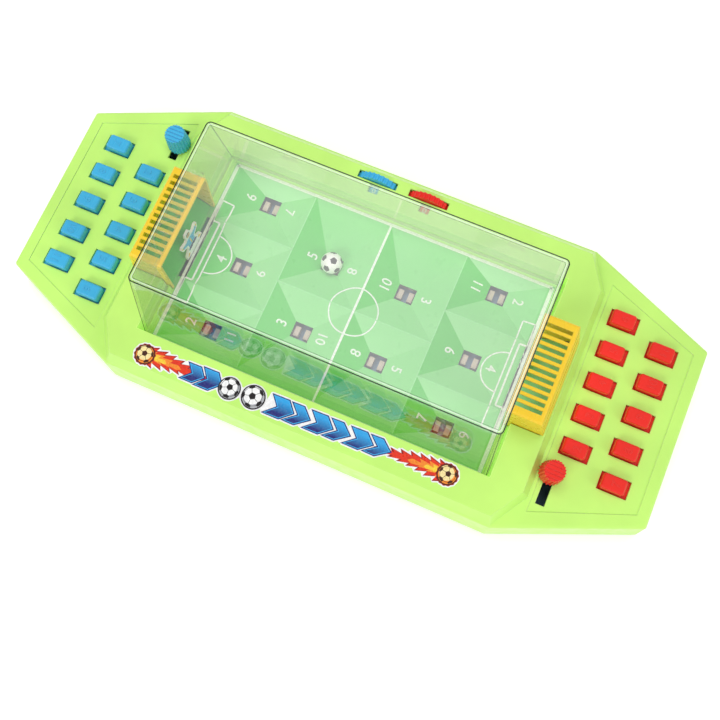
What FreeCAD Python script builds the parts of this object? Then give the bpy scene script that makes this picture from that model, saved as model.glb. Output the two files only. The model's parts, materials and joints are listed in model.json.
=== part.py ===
import FreeCAD, Part
import os

import Sketcher
from FreeCAD import Placement, Rotation, Vector

# Push-button tabletop football game.  Millimetres, +Z up, origin under the
# middle of the game at table height, X along the length (blue player at -X,
# red player at +X), Y across it (score wheels at +Y).

doc = FreeCAD.newDocument("tabletop_football")

DIMS = {
    # outer body
    "rim_length": 420, "rim_end_width": 114, "rim_width": 184, "rim_shoulder": 254,
    "wing_top": 28, "deck_top": 34.5, "base_bottom": 1.5, "skirt_draft": 6.5,
    "wall": 2.4, "skin": 2.2, "rim_round": 2.2,
    # raised deck
    "deck_length": 273, "deck_side": 132, "deck_width": 172.8, "deck_front": 248,
    "deck_slope": 33,
    # shallow step that outlines each wing panel
    "panel_inner": 143, "panel_outer": 202.5, "panel_wide": 75, "panel_narrow": 51.7,
    "panel_depth": 0.45,
    # well that holds the pitch and the cover
    "well_length": 231.4, "well_width": 131.2, "well_wall": 1.8,
    "bay_reach": 133.8, "bay_width": 62.8,
    # pitch
    "pitch_top": 17, "pitch_thick": 1.5, "hole_top": 12, "hole_long": 12, "hole_wide": 10.5,
    "line_x": 110.6, "line_y": 64, "cell_split_x": 53, "cell_split_y": 23,
    "cell_edge_x": 108, "cell_edge_y": 62.4, "cell_gap": 0.35,
    "outer_hole_x": 79.8, "outer_hole_y": 46, "inner_hole_x": 25.7, "inner_hole_y": 24.3,
    "pitch_rim_top": 23.4, "pitch_rim_length": 230.8, "pitch_rim_width": 130.6,
    "ramp_width": 58.8, "ramp_end": 133, "ramp_top": 31.4,
    # clear cover
    "cover_length": 230.4, "cover_width": 130, "cover_top_length": 217.2,
    "cover_top_width": 102.6, "cover_base": 23.5, "cover_top": 96.4, "cover_wall": 1.8,
    "cover_round": 3, "gate_width": 65, "gate_top": 64.5,
    # goals
    "goal_width": 62, "goal_wall": 1.4, "goal_foot_x": 112.3, "goal_mouth_x": 108.4,
    "goal_top": 62, "goal_roof_end": 129.5, "goal_outer": 135.6, "goal_round": 2,
    "goal_slots": 12, "goal_slot_pitch": 4.5, "goal_slot_wide": 2.5,
    "goal_slot_start": 111.4, "goal_slot_end": 127.2,
    # keys
    "key_inner_x": 155.8, "key_outer_x": 183.5, "key_first_y": 40.7, "key_pitch": 21.29,
    "cap_long": 14.6, "cap_wide": 9.6, "cap_top": 33.2, "cap_round": 1.7, "cap_wall": 1.4,
    "hole_gap": 0.8, "hole_gap_outer": 3.0, "flange_side": 1.5, "flange_outer": 3.6,
    "flange_gap": 0.3, "cap_depth": 5,
    "lever_wide": 2.4, "lane_step": 7.6, "inner_bend_start": 150, "inner_bend_end": 130,
    "outer_bend_start": 177, "outer_bend_end": 164,
    "arm_bottom": 7.4, "arm_top": 9.8, "kick_bottom": 3.9, "kick_top": 6.2,
    "pivot_height": 6.5, "pivot_radius": 1.5, "pivot_gap": 0.05, "pivot_ratio": 0.444,
    "paddle_near": 1.8, "paddle_far": 5.2, "paddle_wide": 6.6, "paddle_top": 9.3,
    # key bearings on the base tray
    "post_long": 5, "post_thick": 1.5, "post_clear": 0.3, "post_top": 7.6,
    # keeper slides
    "keeper_x": 112.6, "keeper_slot": 44, "keeper_slot_wide": 2.2, "knob_x": 148,
    "knob_y": 57.2, "knob_slot": 22.4, "knob_slot_inner": 2.0, "knob_slot_outer": 3.6,
    "knob_base": 29, "knob_top": 42.4, "knob_foot_radius": 7.6, "knob_head_radius": 6.6,
    "knob_ridges": 22, "knob_groove": 0.85, "knob_line_step": 2.4, "shaft_radius": 1.6,
    "slider_bottom": 12, "slider_top": 14, "slider_wide": 6, "red_keeper_shift": 8.7,
    # score wheels
    "score_x": 17.4, "score_axis": 23.5, "score_radius": 15.5, "score_disc_y": 81,
    "score_disc_wide": 4, "score_slot_long": 26.4, "score_slot_wide": 5,
    "drum_radius": 8.6, "drum_start": 71.4, "window_y": 74.1, "window_long": 6.6,
    "window_wide": 5.4, "score_pin": 2, "score_knurls": 30,
    "score_groove": 1.15,
    # base tray, fasteners and feet
    "tray_top": 3.5, "tray_gap": 0.25, "boss_radius": 3.6, "screw_radius": 1.4,
    "screw_head": 2.8, "screw_head_high": 1.2,
    "boss_end_x": 200.8, "boss_end_y": 38, "boss_side_x": 60, "boss_side_y": 78,
    "foot_x": 150, "foot_y": 62, "foot_radius": 6, "foot_recess": 0.8,
    # ball and front sticker
    "ball_radius": 7, "sticker_left": 111.5, "sticker_right": 100.5, "sticker_y": 77,
    "sticker_wide": 17, "sticker_thick": 0.2,
}

sheet = doc.addObject("Spreadsheet::Sheet", "dims")
for row, (word, number) in enumerate(DIMS.items(), start=1):
    sheet.set("A%d" % row, word)
    sheet.set("B%d" % row, str(number))
    sheet.setAlias("B%d" % row, word)
doc.recompute()


class Cells:
    """Lets an expression be written D.word, which reads the sheet's cell."""

    def __getattr__(self, word):
        return "dims." + word


D = Cells()


def value(expression):
    """Number that a sheet expression gives now."""
    result = sheet.evalExpression(str(expression))
    return float(getattr(result, "Value", result))


def bind(obj, **expressions):
    """Bind properties to sheet expressions; Base_x stands for Placement.Base.x."""
    for name, expression in expressions.items():
        if name.startswith("Base_"):
            name = ".Placement.Base." + name[-1]
        obj.setExpression(name, str(expression))
    return obj


# --- simple solids bound to the sheet -------------------------------------

def block(name, x_low, x_high, y_low, y_high, z_low, z_high):
    """Box between two corners given as expressions."""
    box = doc.addObject("Part::Box", name)
    return bind(box, Length=f"({x_high}) - ({x_low})", Width=f"({y_high}) - ({y_low})",
                Height=f"({z_high}) - ({z_low})", Base_x=x_low, Base_y=y_low, Base_z=z_low)


def rod(name, radius, start, length, axis="z"):
    """Cylinder from a start point along one axis."""
    cylinder = doc.addObject("Part::Cylinder", name)
    turn = {"z": Rotation(), "y": Rotation(Vector(1, 0, 0), -90),
            "x": Rotation(Vector(0, 1, 0), 90)}[axis]
    cylinder.Placement = Placement(Vector(), turn)
    return bind(cylinder, Radius=radius, Height=length,
                Base_x=start[0], Base_y=start[1], Base_z=start[2])


def frustum(name, low, high, z_low, z_high):
    """Four-sided tapered block; low and high are (x0, x1, y0, y1) expressions."""
    wedge = doc.addObject("Part::Wedge", name)
    wedge.Placement = Placement(Vector(), Rotation(Vector(1, 0, 0), 90))
    bind(wedge, Ymin=z_low, Ymax=z_high,
         Xmin=low[0], Xmax=low[1], Zmin=f"-({low[3]})", Zmax=f"-({low[2]})",
         X2min=high[0], X2max=high[1], Z2min=f"-({high[3]})", Z2max=f"-({high[2]})")
    return wedge


def bent_bar(name, x_from, y_from, x_to, y_to, half_width, z_low, z_high):
    """Bar between two points of the plan, square to X at both ends."""
    wedge = doc.addObject("Part::Wedge", name)
    wedge.Placement = Placement(Vector(), Rotation(Vector(1, 1, 0), 180))
    return bind(wedge, Ymin=x_from, Ymax=x_to,
                Xmin=f"({y_from}) - ({half_width})", Xmax=f"({y_from}) + ({half_width})",
                X2min=f"({y_to}) - ({half_width})", X2max=f"({y_to}) + ({half_width})",
                Zmin=f"-({z_high})", Zmax=f"-({z_low})",
                Z2min=f"-({z_high})", Z2max=f"-({z_low})")


def fuse(name, shapes):
    joined = doc.addObject("Part::MultiFuse", name)
    joined.Shapes = shapes
    joined.Refine = True
    return joined


def cut(name, base, tools):
    """Base minus one or several tools."""
    removed = doc.addObject("Part::Cut", name)
    removed.Base = base
    removed.Tool = tools[0] if len(tools) == 1 else fuse(name + "_tools", tools)
    return removed


def rounded(name, base, radius, chosen):
    """Fillet of the edges for which chosen(edge) holds."""
    doc.recompute()
    fillet = doc.addObject("Part::Fillet", name)
    fillet.Base = base
    size = value(radius)
    fillet.Edges = [(index, size, size)
                    for index, edge in enumerate(base.Shape.Edges, start=1) if chosen(edge)]
    return fillet


def finish(label, obj, turn=0):
    """Name a finished piece and turn it about the Z axis."""
    if turn:
        obj.Placement = Placement(Vector(), Rotation(Vector(0, 0, 1), turn))
    obj.Label = label
    PIECES.append(obj)
    return obj


PIECES = []


# --- PartDesign helpers ----------------------------------------------------

def new_body(name):
    return doc.addObject("PartDesign::Body", name)


def plane_of(body, role):
    return next(item for item in body.Origin.OriginFeatures if item.Role == role)


def new_sketch(body, name, role="XY_Plane", height=None):
    """Sketch on one of the body's own planes, raised to a height expression."""
    sketch = body.newObject("Sketcher::SketchObject", name)
    sketch.AttachmentSupport = [(plane_of(body, role), "")]
    sketch.MapMode = "FlatFace"
    if height is not None:
        sketch.setExpression(".AttachmentOffset.Base.z", str(height))
    return sketch


def pin_down(sketch, geometry, point, x, y):
    """Fix one point of a sketch element at the expressions x, y."""
    for kind, expression in (("DistanceX", x), ("DistanceY", y)):
        number = value(expression)
        index = sketch.addConstraint(
            Sketcher.Constraint(kind, -1, 1, geometry, point, number))
        sketch.setExpression("Constraints[%d]" % index, str(expression))


def add_polygon(sketch, corners):
    """Closed polygon whose every corner is fixed by two expressions."""
    points = [Vector(value(x), value(y), 0) for x, y in corners]
    first = sketch.GeometryCount
    count = len(points)
    for i in range(count):
        sketch.addGeometry(Part.LineSegment(points[i], points[(i + 1) % count]), False)
    for i in range(count):
        following = first + (i + 1) % count
        sketch.addConstraint(Sketcher.Constraint("Coincident", first + i, 2, following, 1))
    for i, (x, y) in enumerate(corners):
        pin_down(sketch, first + i, 1, x, y)


def add_rectangle(sketch, x_low, x_high, y_low, y_high):
    add_polygon(sketch, [(x_low, y_low), (x_high, y_low), (x_high, y_high), (x_low, y_high)])


def add_circle(sketch, x, y, radius):
    centre = Vector(value(x), value(y), 0)
    index = sketch.addGeometry(Part.Circle(centre, Vector(0, 0, 1), value(radius)), False)
    pin_down(sketch, index, 3, x, y)
    number = sketch.addConstraint(Sketcher.Constraint("Radius", index, value(radius)))
    sketch.setExpression("Constraints[%d]" % number, str(radius))


def extrude(body, kind, sketch, length, downward=False, taper=None, midplane=False):
    """Pad or Pocket; downward is against the sketch normal for both kinds."""
    feature = body.newObject("PartDesign::" + kind, sketch.Name + "_" + kind.lower())
    feature.Profile = sketch
    feature.setExpression("Length", str(length))
    feature.Reversed = downward if kind == "Pad" else not downward
    if midplane:
        feature.Midplane = True
    if taper is not None:
        feature.setExpression("TaperAngle", str(taper))
    body.Tip = feature
    doc.recompute()
    return feature


def octagon(half_x, end_half_y, shoulder_x, half_y):
    """Corners of an octagon with its long sides along X."""
    quarter = [(half_x, end_half_y), (shoulder_x, half_y)]
    right = quarter + [(f"-({x})", y) for x, y in reversed(quarter)]
    return right + [(f"-({x})", f"-({y})") for x, y in right]


def corners_of(x, y):
    """The four points (+-x, +-y) as expressions."""
    return [(f"{i} * {x}", f"{j} * {y}") for i in (-1, 1) for j in (-1, 1)]


# --- key layout ---------------------------------------------------------------

def key_table():
    """Each blue key: number, button x and y, hole x and y, lane y, and its bend's X span.

    The inner column kicks at the five holes of the far half, the outer column
    at the five of the near half.  Levers run side by side in straight lanes.
    """
    holes = {-2: ("outer", -1), -1: ("inner", -1), 0: ("outer", 0),
             1: ("inner", 1), 2: ("outer", 1)}
    inner_bend = ("-dims.inner_bend_start", "-dims.inner_bend_end")
    outer_bend = ("-dims.outer_bend_start", "-dims.outer_bend_end")
    table = []
    for step in range(-2, 3):
        column, side = holes[step]
        row_y = f"({side} * dims.{column}_hole_y)"
        inner_y = f"(dims.key_first_y - {2.5 - step} * dims.key_pitch)"
        outer_y = f"(dims.key_first_y - {2 - step} * dims.key_pitch)"
        hole_x = f"dims.{column}_hole_x"
        table.append((4 - step, D.key_inner_x, inner_y, hole_x, row_y,
                      f"({row_y} - dims.lane_step)", inner_bend))
        table.append((9 - step, D.key_outer_x, outer_y, f"(-{hole_x})", row_y, row_y,
                      outer_bend))
    return sorted(table)


def pivot_of(button_x, hole_x):
    """X of a key's pivot: the same share of the way from button to paddle for all keys."""
    paddle = f"({hole_x} - (dims.paddle_near + dims.paddle_far) / 2)"
    return f"(-{button_x} + dims.pivot_ratio * ({paddle} + {button_x}))"


# --- body shell -----------------------------------------------------------------

def shell_outside(body):
    """Skirt, wings and raised deck as one solid with a rounded rim."""
    rim = new_sketch(body, "rim_outline", height=D.wing_top)
    add_polygon(rim, octagon("dims.rim_length / 2", "dims.rim_end_width / 2",
                             "dims.rim_shoulder / 2", "dims.rim_width / 2"))
    skirt = extrude(body, "Pad", rim, "dims.wing_top - dims.base_bottom", downward=True,
                    taper=D.skirt_draft)
    top_and_corners = ["Edge%d" % i for i, edge in enumerate(skirt.Shape.Edges, start=1)
                       if max(v.Z for v in edge.Vertexes) > value(D.wing_top) - 0.01]
    fillet = body.newObject("PartDesign::Fillet", "rim_fillet")
    fillet.Base = (skirt, top_and_corners)
    fillet.setExpression("Radius", D.rim_round)
    body.Tip = fillet
    doc.recompute()
    deck = new_sketch(body, "deck_outline", height=D.deck_top)
    add_polygon(deck, octagon("dims.deck_length / 2", "dims.deck_side / 2",
                              "dims.deck_front / 2", "dims.deck_width / 2"))
    extrude(body, "Pad", deck, "dims.deck_top - dims.wing_top + 1", downward=True,
            taper=D.deck_slope)


def shell_hollow(body):
    """Space inside the skirt, then the lower space inside the raised deck."""
    inner = new_sketch(body, "skirt_inside", height=D.base_bottom)
    spread = "tan(dims.skirt_draft) * (dims.wing_top - dims.base_bottom) - dims.wall"
    add_polygon(inner, octagon(f"dims.rim_length / 2 + {spread}",
                               f"dims.rim_end_width / 2 + 0.8 * ({spread})",
                               f"dims.rim_shoulder / 2 + 0.2 * ({spread})",
                               f"dims.rim_width / 2 + {spread}"))
    extrude(body, "Pocket", inner, "dims.wing_top - dims.skin - dims.base_bottom",
            taper="-dims.skirt_draft")
    under = new_sketch(body, "deck_inside", height="dims.wing_top - dims.skin - 0.5")
    add_polygon(under, octagon("dims.deck_length / 2 - 2", "dims.deck_side / 2 - 1",
                               "dims.deck_front / 2 - 2", "dims.deck_width / 2 - 2"))
    extrude(body, "Pocket", under, "dims.deck_top - dims.wing_top + 0.5", taper="-5")


def shell_inner_walls(body):
    """Wall around the well, screw bosses and the score wheels' hangers."""
    wall = new_sketch(body, "well_wall_outline", height="dims.deck_top - dims.skin")
    add_rectangle(wall, "-dims.well_length / 2 - dims.well_wall",
                  "dims.well_length / 2 + dims.well_wall",
                  "-dims.well_width / 2 - dims.well_wall",
                  "dims.well_width / 2 + dims.well_wall")
    extrude(body, "Pad", wall, "dims.deck_top - dims.skin - dims.pitch_top", downward=True)
    bosses = new_sketch(body, "boss_outlines", height=D.tray_top)
    for x, y in screw_places():
        add_circle(bosses, x, y, D.boss_radius)
    extrude(body, "Pad", bosses, "dims.wing_top - dims.skin - dims.tray_top + 0.5")
    side = new_sketch(body, "side_boss_roots", height="dims.wing_top - dims.skin")
    for x, y in corners_of(D.boss_side_x, D.boss_side_y):
        add_circle(side, x, y, D.boss_radius)
    extrude(body, "Pad", side, "dims.deck_top - dims.wing_top + 0.5")
    hangers = new_sketch(body, "hanger_outlines", height="dims.deck_top - dims.skin")
    for sign in (-1, 1):
        for y_low, y_high in hanger_spans():
            add_rectangle(hangers, f"{sign} * dims.score_x - 4", f"{sign} * dims.score_x + 4",
                          y_low, y_high)
    extrude(body, "Pad", hangers, "dims.deck_top - dims.skin - dims.score_axis + 4",
            downward=True)


def hanger_spans():
    """Y spans of the two plates that carry each score wheel."""
    return [("dims.well_width / 2 + dims.well_wall - 0.3",
             "dims.well_width / 2 + dims.well_wall + 1"),
            ("dims.score_slot_wide / 2 + dims.score_disc_y + 0.2",
             "dims.score_slot_wide / 2 + dims.score_disc_y + 1.6")]


def screw_places():
    return corners_of(D.boss_end_x, D.boss_end_y) + corners_of(D.boss_side_x, D.boss_side_y)


def shell_openings(body):
    """Well, goal bays, button holes, keeper slots, score slots and windows."""
    well = new_sketch(body, "well_outline", height=D.deck_top)
    add_rectangle(well, "-dims.well_length / 2", "dims.well_length / 2",
                  "-dims.well_width / 2", "dims.well_width / 2")
    extrude(body, "Pocket", well, "dims.deck_top - dims.base_bottom", downward=True)
    bays = new_sketch(body, "bay_outlines", height="dims.deck_top")
    for sign in (-1, 1):
        add_rectangle(bays, f"min({sign} * dims.bay_reach; {sign} * 110)",
                      f"max({sign} * dims.bay_reach; {sign} * 110)",
                      "-dims.bay_width / 2", "dims.bay_width / 2")
    extrude(body, "Pocket", bays, "dims.deck_top - dims.base_bottom", downward=True)
    holes = new_sketch(body, "button_holes", height=D.wing_top)
    for _, button_x, button_y, *_ in key_table():
        for sign in (-1, 1):
            inner = f"{sign} * ({button_x} - dims.cap_long / 2 - dims.hole_gap)"
            outer = f"{sign} * ({button_x} + dims.cap_long / 2 + dims.hole_gap_outer)"
            y = f"{-sign} * {button_y}"
            add_rectangle(holes, f"min({inner}; {outer})", f"max({inner}; {outer})",
                          f"{y} - dims.cap_wide / 2 - dims.hole_gap",
                          f"{y} + dims.cap_wide / 2 + dims.hole_gap")
    for sign in (-1, 1):
        inner = f"{sign} * (dims.knob_x - dims.knob_slot_inner)"
        outer = f"{sign} * (dims.knob_x + dims.knob_slot_outer)"
        y = f"{-sign} * dims.knob_y"
        add_rectangle(holes, f"min({inner}; {outer})", f"max({inner}; {outer})",
                      f"{y} - dims.knob_slot / 2", f"{y} + dims.knob_slot / 2")
    extrude(body, "Pocket", holes, "dims.skin + 1", downward=True)
    slots = new_sketch(body, "score_slots", height=D.deck_top)
    for sign in (-1, 1):
        x = f"{sign} * dims.score_x"
        add_rectangle(slots, f"{x} - dims.score_slot_long / 2", f"{x} + dims.score_slot_long / 2",
                      "dims.score_disc_y - dims.score_slot_wide / 2",
                      "dims.score_disc_y + dims.score_slot_wide / 2")
        add_rectangle(slots, f"{x} - dims.window_long / 2", f"{x} + dims.window_long / 2",
                      "dims.window_y - dims.window_wide / 2",
                      "dims.window_y + dims.window_wide / 2")
    extrude(body, "Pocket", slots, "dims.skin + 0.2", downward=True)
    pilots = new_sketch(body, "pilot_holes", height=D.base_bottom)
    for x, y in screw_places():
        add_circle(pilots, x, y, D.screw_radius)
    extrude(body, "Pocket", pilots, "14")
    pins = new_sketch(body, "pin_holes", role="XZ_Plane", height="-dims.rim_width / 2 + 4.8")
    for sign in (-1, 1):
        add_circle(pins, f"{sign} * dims.score_x", D.score_axis,
                   "dims.score_pin + dims.pivot_gap")
    hanger_face = "(dims.well_width / 2 + dims.well_wall - 1.2)"
    extrude(body, "Pocket", pins, f"dims.rim_width / 2 - 4.8 - {hanger_face}", downward=False)


def wing_panels(body):
    """Shallow step around the flat panel of each wing."""
    panel = new_sketch(body, "panel_outlines", height=D.wing_top)
    for sign in (-1, 1):
        corners = [(D.panel_inner, D.panel_wide), (D.panel_outer, D.panel_narrow),
                   (D.panel_outer, f"-{D.panel_narrow}"), (D.panel_inner, f"-{D.panel_wide}")]
        add_polygon(panel, [(f"{sign} * {x}", f"{sign} * ({y})") for x, y in corners])
    extrude(body, "Pocket", panel, D.panel_depth, downward=True)


def make_top_shell():
    body = new_body("top_shell_body")
    shell_outside(body)
    wing_panels(body)
    shell_hollow(body)
    shell_inner_walls(body)
    shell_openings(body)
    finish("top_shell", body)


# --- pitch ------------------------------------------------------------------------

def pitch_cells():
    """Cell limits and hole centre of the ten funnels, as expressions."""
    cells = []
    edge = D.cell_edge_y
    rows = [(D.cell_split_y, edge), (f"-{D.cell_split_y}", D.cell_split_y),
            (f"-{edge}", f"-{D.cell_split_y}")]
    for sign in (-1, 1):
        limits = sorted([f"{sign} * dims.cell_split_x", f"{sign} * dims.cell_edge_x"], key=value)
        for step, (y_low, y_high) in zip((1, 0, -1), rows):
            cells.append((limits[0], limits[1], y_low, y_high,
                          f"{sign} * dims.outer_hole_x", f"{step} * dims.outer_hole_y"))
        limits = sorted(["0", f"{sign} * dims.cell_split_x"], key=value)
        for step in (1, -1):
            span = sorted(["0", f"{step} * dims.cell_edge_y"], key=value)
            cells.append((limits[0], limits[1], span[0], span[1],
                          f"{sign} * dims.inner_hole_x", f"{step} * dims.inner_hole_y"))
    return cells


def funnel(name, cell, drop):
    """Inverted pyramid from the cell's edges down to its hole, lowered by drop."""
    x_low, x_high, y_low, y_high, hole_x, hole_y = cell
    gap = D.cell_gap
    wide = (f"{x_low} + {gap}", f"{x_high} - {gap}", f"{y_low} + {gap}", f"{y_high} - {gap}")
    grow = f"0.6 * {drop}"
    narrow = (f"{hole_x} - dims.hole_long / 2 - {grow}", f"{hole_x} + dims.hole_long / 2 + {grow}",
              f"{hole_y} - dims.hole_wide / 2 - {grow}", f"{hole_y} + dims.hole_wide / 2 + {grow}")
    return frustum(name, narrow, wide, f"dims.hole_top - {drop}", f"dims.pitch_top - {drop}")


def ramp(name, sign):
    """Sloping floor under one goal, with the keeper's slot cut through it."""
    body = new_body(name + "_body")
    profile = new_sketch(body, name + "_profile", role="XZ_Plane")
    corners = [("dims.line_x", "dims.pitch_top - dims.pitch_thick"), ("dims.line_x", D.pitch_top),
               ("dims.line_x + 4.2", D.pitch_top), (D.ramp_end, D.ramp_top),
               (D.ramp_end, "dims.ramp_top - dims.pitch_thick"),
               ("dims.line_x + 4.6", "dims.pitch_top - dims.pitch_thick")]
    add_polygon(profile, [(f"{sign} * ({x})", z) for x, z in corners])
    extrude(body, "Pad", profile, D.ramp_width, midplane=True)
    return body


def make_pitch():
    plate = block("pitch_plate", "-dims.pitch_rim_length / 2", "dims.pitch_rim_length / 2",
                  "-dims.pitch_rim_width / 2", "dims.pitch_rim_width / 2",
                  "dims.pitch_top - dims.pitch_thick", D.pitch_top)
    rim = cut("pitch_rim", block("pitch_rim_outside", "-dims.pitch_rim_length / 2",
                                 "dims.pitch_rim_length / 2", "-dims.pitch_rim_width / 2",
                                 "dims.pitch_rim_width / 2", D.pitch_top, D.pitch_rim_top),
              [block("pitch_rim_inside", "-dims.line_x - 2.2", "dims.line_x + 2.2",
                     "-dims.line_y", "dims.line_y", D.pitch_top, D.pitch_rim_top),
               block("pitch_rim_gate", "-dims.rim_length / 2", "dims.rim_length / 2",
                     "-dims.bay_width / 2", "dims.bay_width / 2",
                     D.pitch_top, "dims.pitch_rim_top + 1")])
    cells = pitch_cells()
    under = [funnel("cell_under_%d" % i, cell, D.pitch_thick) for i, cell in enumerate(cells)]
    ramps = [ramp("blue_ramp", -1), ramp("red_ramp", 1)]
    solid = fuse("pitch_solid", [plate, rim] + under + ramps)
    tools = [funnel("cell_top_%d" % i, cell, "0") for i, cell in enumerate(cells)]
    for i, cell in enumerate(cells):
        tools.append(block("cell_hole_%d" % i,
                           f"{cell[4]} - dims.hole_long / 2", f"{cell[4]} + dims.hole_long / 2",
                           f"{cell[5]} - dims.hole_wide / 2", f"{cell[5]} + dims.hole_wide / 2",
                           "dims.hole_top - 3", "dims.hole_top + 0.1"))
    for sign in (-1, 1):
        x = f"{sign} * dims.keeper_x"
        tools.append(block("keeper_slot_%d" % (sign + 1), f"{x} - dims.keeper_slot_wide / 2",
                           f"{x} + dims.keeper_slot_wide / 2", "-dims.keeper_slot / 2",
                           "dims.keeper_slot / 2", "dims.pitch_top - 3", "dims.pitch_top + 3"))
    finish("pitch", cut("pitch_finished", solid, tools))


# --- clear cover --------------------------------------------------------------------

def upright(edge):
    """Edge that climbs the height of a tapered block."""
    heights = [vertex.Z for vertex in edge.Vertexes]
    return max(heights) - min(heights) > 10


def tapered_hood(name, inset, top, radius):
    """Tapered block with round upright edges, inset from the cover's outside."""
    low = ("-dims.cover_length / 2", "dims.cover_length / 2",
           "-dims.cover_width / 2", "dims.cover_width / 2")
    high = ("-dims.cover_top_length / 2", "dims.cover_top_length / 2",
            "-dims.cover_top_width / 2", "dims.cover_top_width / 2")
    signs = (1, -1, 1, -1)
    low = tuple(f"{edge} + {sign} * {inset}" for edge, sign in zip(low, signs))
    high = tuple(f"{edge} + {sign} * {inset}" for edge, sign in zip(high, signs))
    return rounded(name + "_round", frustum(name, low, high, D.cover_base, top),
                   radius, upright)


def make_cover():
    outside = tapered_hood("cover_outside", "0", D.cover_top, D.cover_round)
    inside = tapered_hood("cover_inside", D.cover_wall, "dims.cover_top - dims.cover_wall",
                          "dims.cover_round - dims.cover_wall")
    gates = block("cover_gates", "-dims.cover_length", "dims.cover_length",
                  "-dims.gate_width / 2", "dims.gate_width / 2", "dims.cover_base - 1",
                  D.gate_top)
    finish("clear_cover", cut("cover_finished", outside, [inside, gates]))


# --- goals ---------------------------------------------------------------------------

def make_goal(label, turn):
    """Slatted cage: flat roof, leaning outer wall on the deck and two side plates."""
    body = new_body(label + "_body")
    cage = new_sketch(body, label + "_cage", role="XZ_Plane")
    foot = "dims.pitch_top + 0.05"
    step = "dims.goal_outer - 2.4"
    add_polygon(cage, [(D.goal_foot_x, foot), (D.goal_mouth_x, D.goal_top),
                       (D.goal_roof_end, D.goal_top), (D.goal_outer, D.deck_top),
                       (step, D.deck_top), (step, "dims.deck_top - 0.6"),
                       ("dims.line_x + 4.2", foot)])
    solid = extrude(body, "Pad", cage, D.goal_width, midplane=True)
    mouth = value(D.goal_mouth_x) + 0.1
    roof_edges = ["Edge%d" % i for i, edge in enumerate(solid.Shape.Edges, start=1)
                  if at_height(edge, D.goal_top)
                  and max(vertex.X for vertex in edge.Vertexes) > mouth]
    fillet = body.newObject("PartDesign::Fillet", label + "_roof_fillet")
    fillet.Base = (solid, roof_edges)
    fillet.setExpression("Radius", D.goal_round)
    body.Tip = fillet
    doc.recompute()
    hollow = new_sketch(body, label + "_hollow", role="XZ_Plane")
    floor = "dims.pitch_top - 2"
    ceiling = "dims.goal_top - dims.goal_wall"
    inside = "1.2 * dims.goal_wall"
    add_polygon(hollow, [("dims.goal_mouth_x - 6", floor), ("dims.goal_mouth_x - 6", ceiling),
                         (f"dims.goal_roof_end - {inside}", ceiling),
                         (f"dims.goal_outer - {inside}", D.deck_top),
                         (f"dims.goal_outer - {inside}", floor)])
    extrude(body, "Pocket", hollow, "dims.goal_width - 2 * dims.goal_wall", midplane=True)
    slots = new_sketch(body, label + "_slots", height="dims.goal_top + 1")
    for i in range(int(value(D.goal_slots))):
        middle = f"({i} - (dims.goal_slots - 1) / 2) * dims.goal_slot_pitch"
        add_rectangle(slots, D.goal_slot_start, D.goal_slot_end,
                      f"{middle} - dims.goal_slot_wide / 2", f"{middle} + dims.goal_slot_wide / 2")
    extrude(body, "Pocket", slots, "dims.goal_wall + 2", downward=True)
    finish(label, body, turn)


# --- keys ------------------------------------------------------------------------------

def make_button(name, button_y, x):
    """Hollow coloured cap, rounded above, with a flange that stays under the wing."""
    cap = block(name + "_cap", f"{x} - dims.cap_long / 2", f"{x} + dims.cap_long / 2",
                f"{button_y} - dims.cap_wide / 2", f"{button_y} + dims.cap_wide / 2",
                "dims.wing_top - dims.cap_depth", D.cap_top)
    head = rounded(name + "_head", cap, D.cap_round,
                   lambda edge: upright_edge(edge) or at_height(edge, D.cap_top))
    inside = block(name + "_inside", f"{x} - dims.cap_long / 2 + dims.cap_wall",
                   f"{x} + dims.cap_long / 2 - dims.cap_wall",
                   f"{button_y} - dims.cap_wide / 2 + dims.cap_wall",
                   f"{button_y} + dims.cap_wide / 2 - dims.cap_wall",
                   "dims.wing_top - dims.cap_depth - 1", "dims.cap_top - dims.cap_wall")
    flange = block(name + "_flange", f"{x} - dims.cap_long / 2 - dims.flange_outer",
                   f"{x} + dims.cap_long / 2 + dims.flange_side",
                   f"{button_y} - dims.cap_wide / 2 - dims.flange_side",
                   f"{button_y} + dims.cap_wide / 2 + dims.flange_side",
                   "dims.wing_top - dims.cap_depth",
                   "dims.wing_top - dims.skin - dims.flange_gap")
    return cut(name + "_hollow", fuse(name + "_flanged", [head, flange]), [inside])


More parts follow.
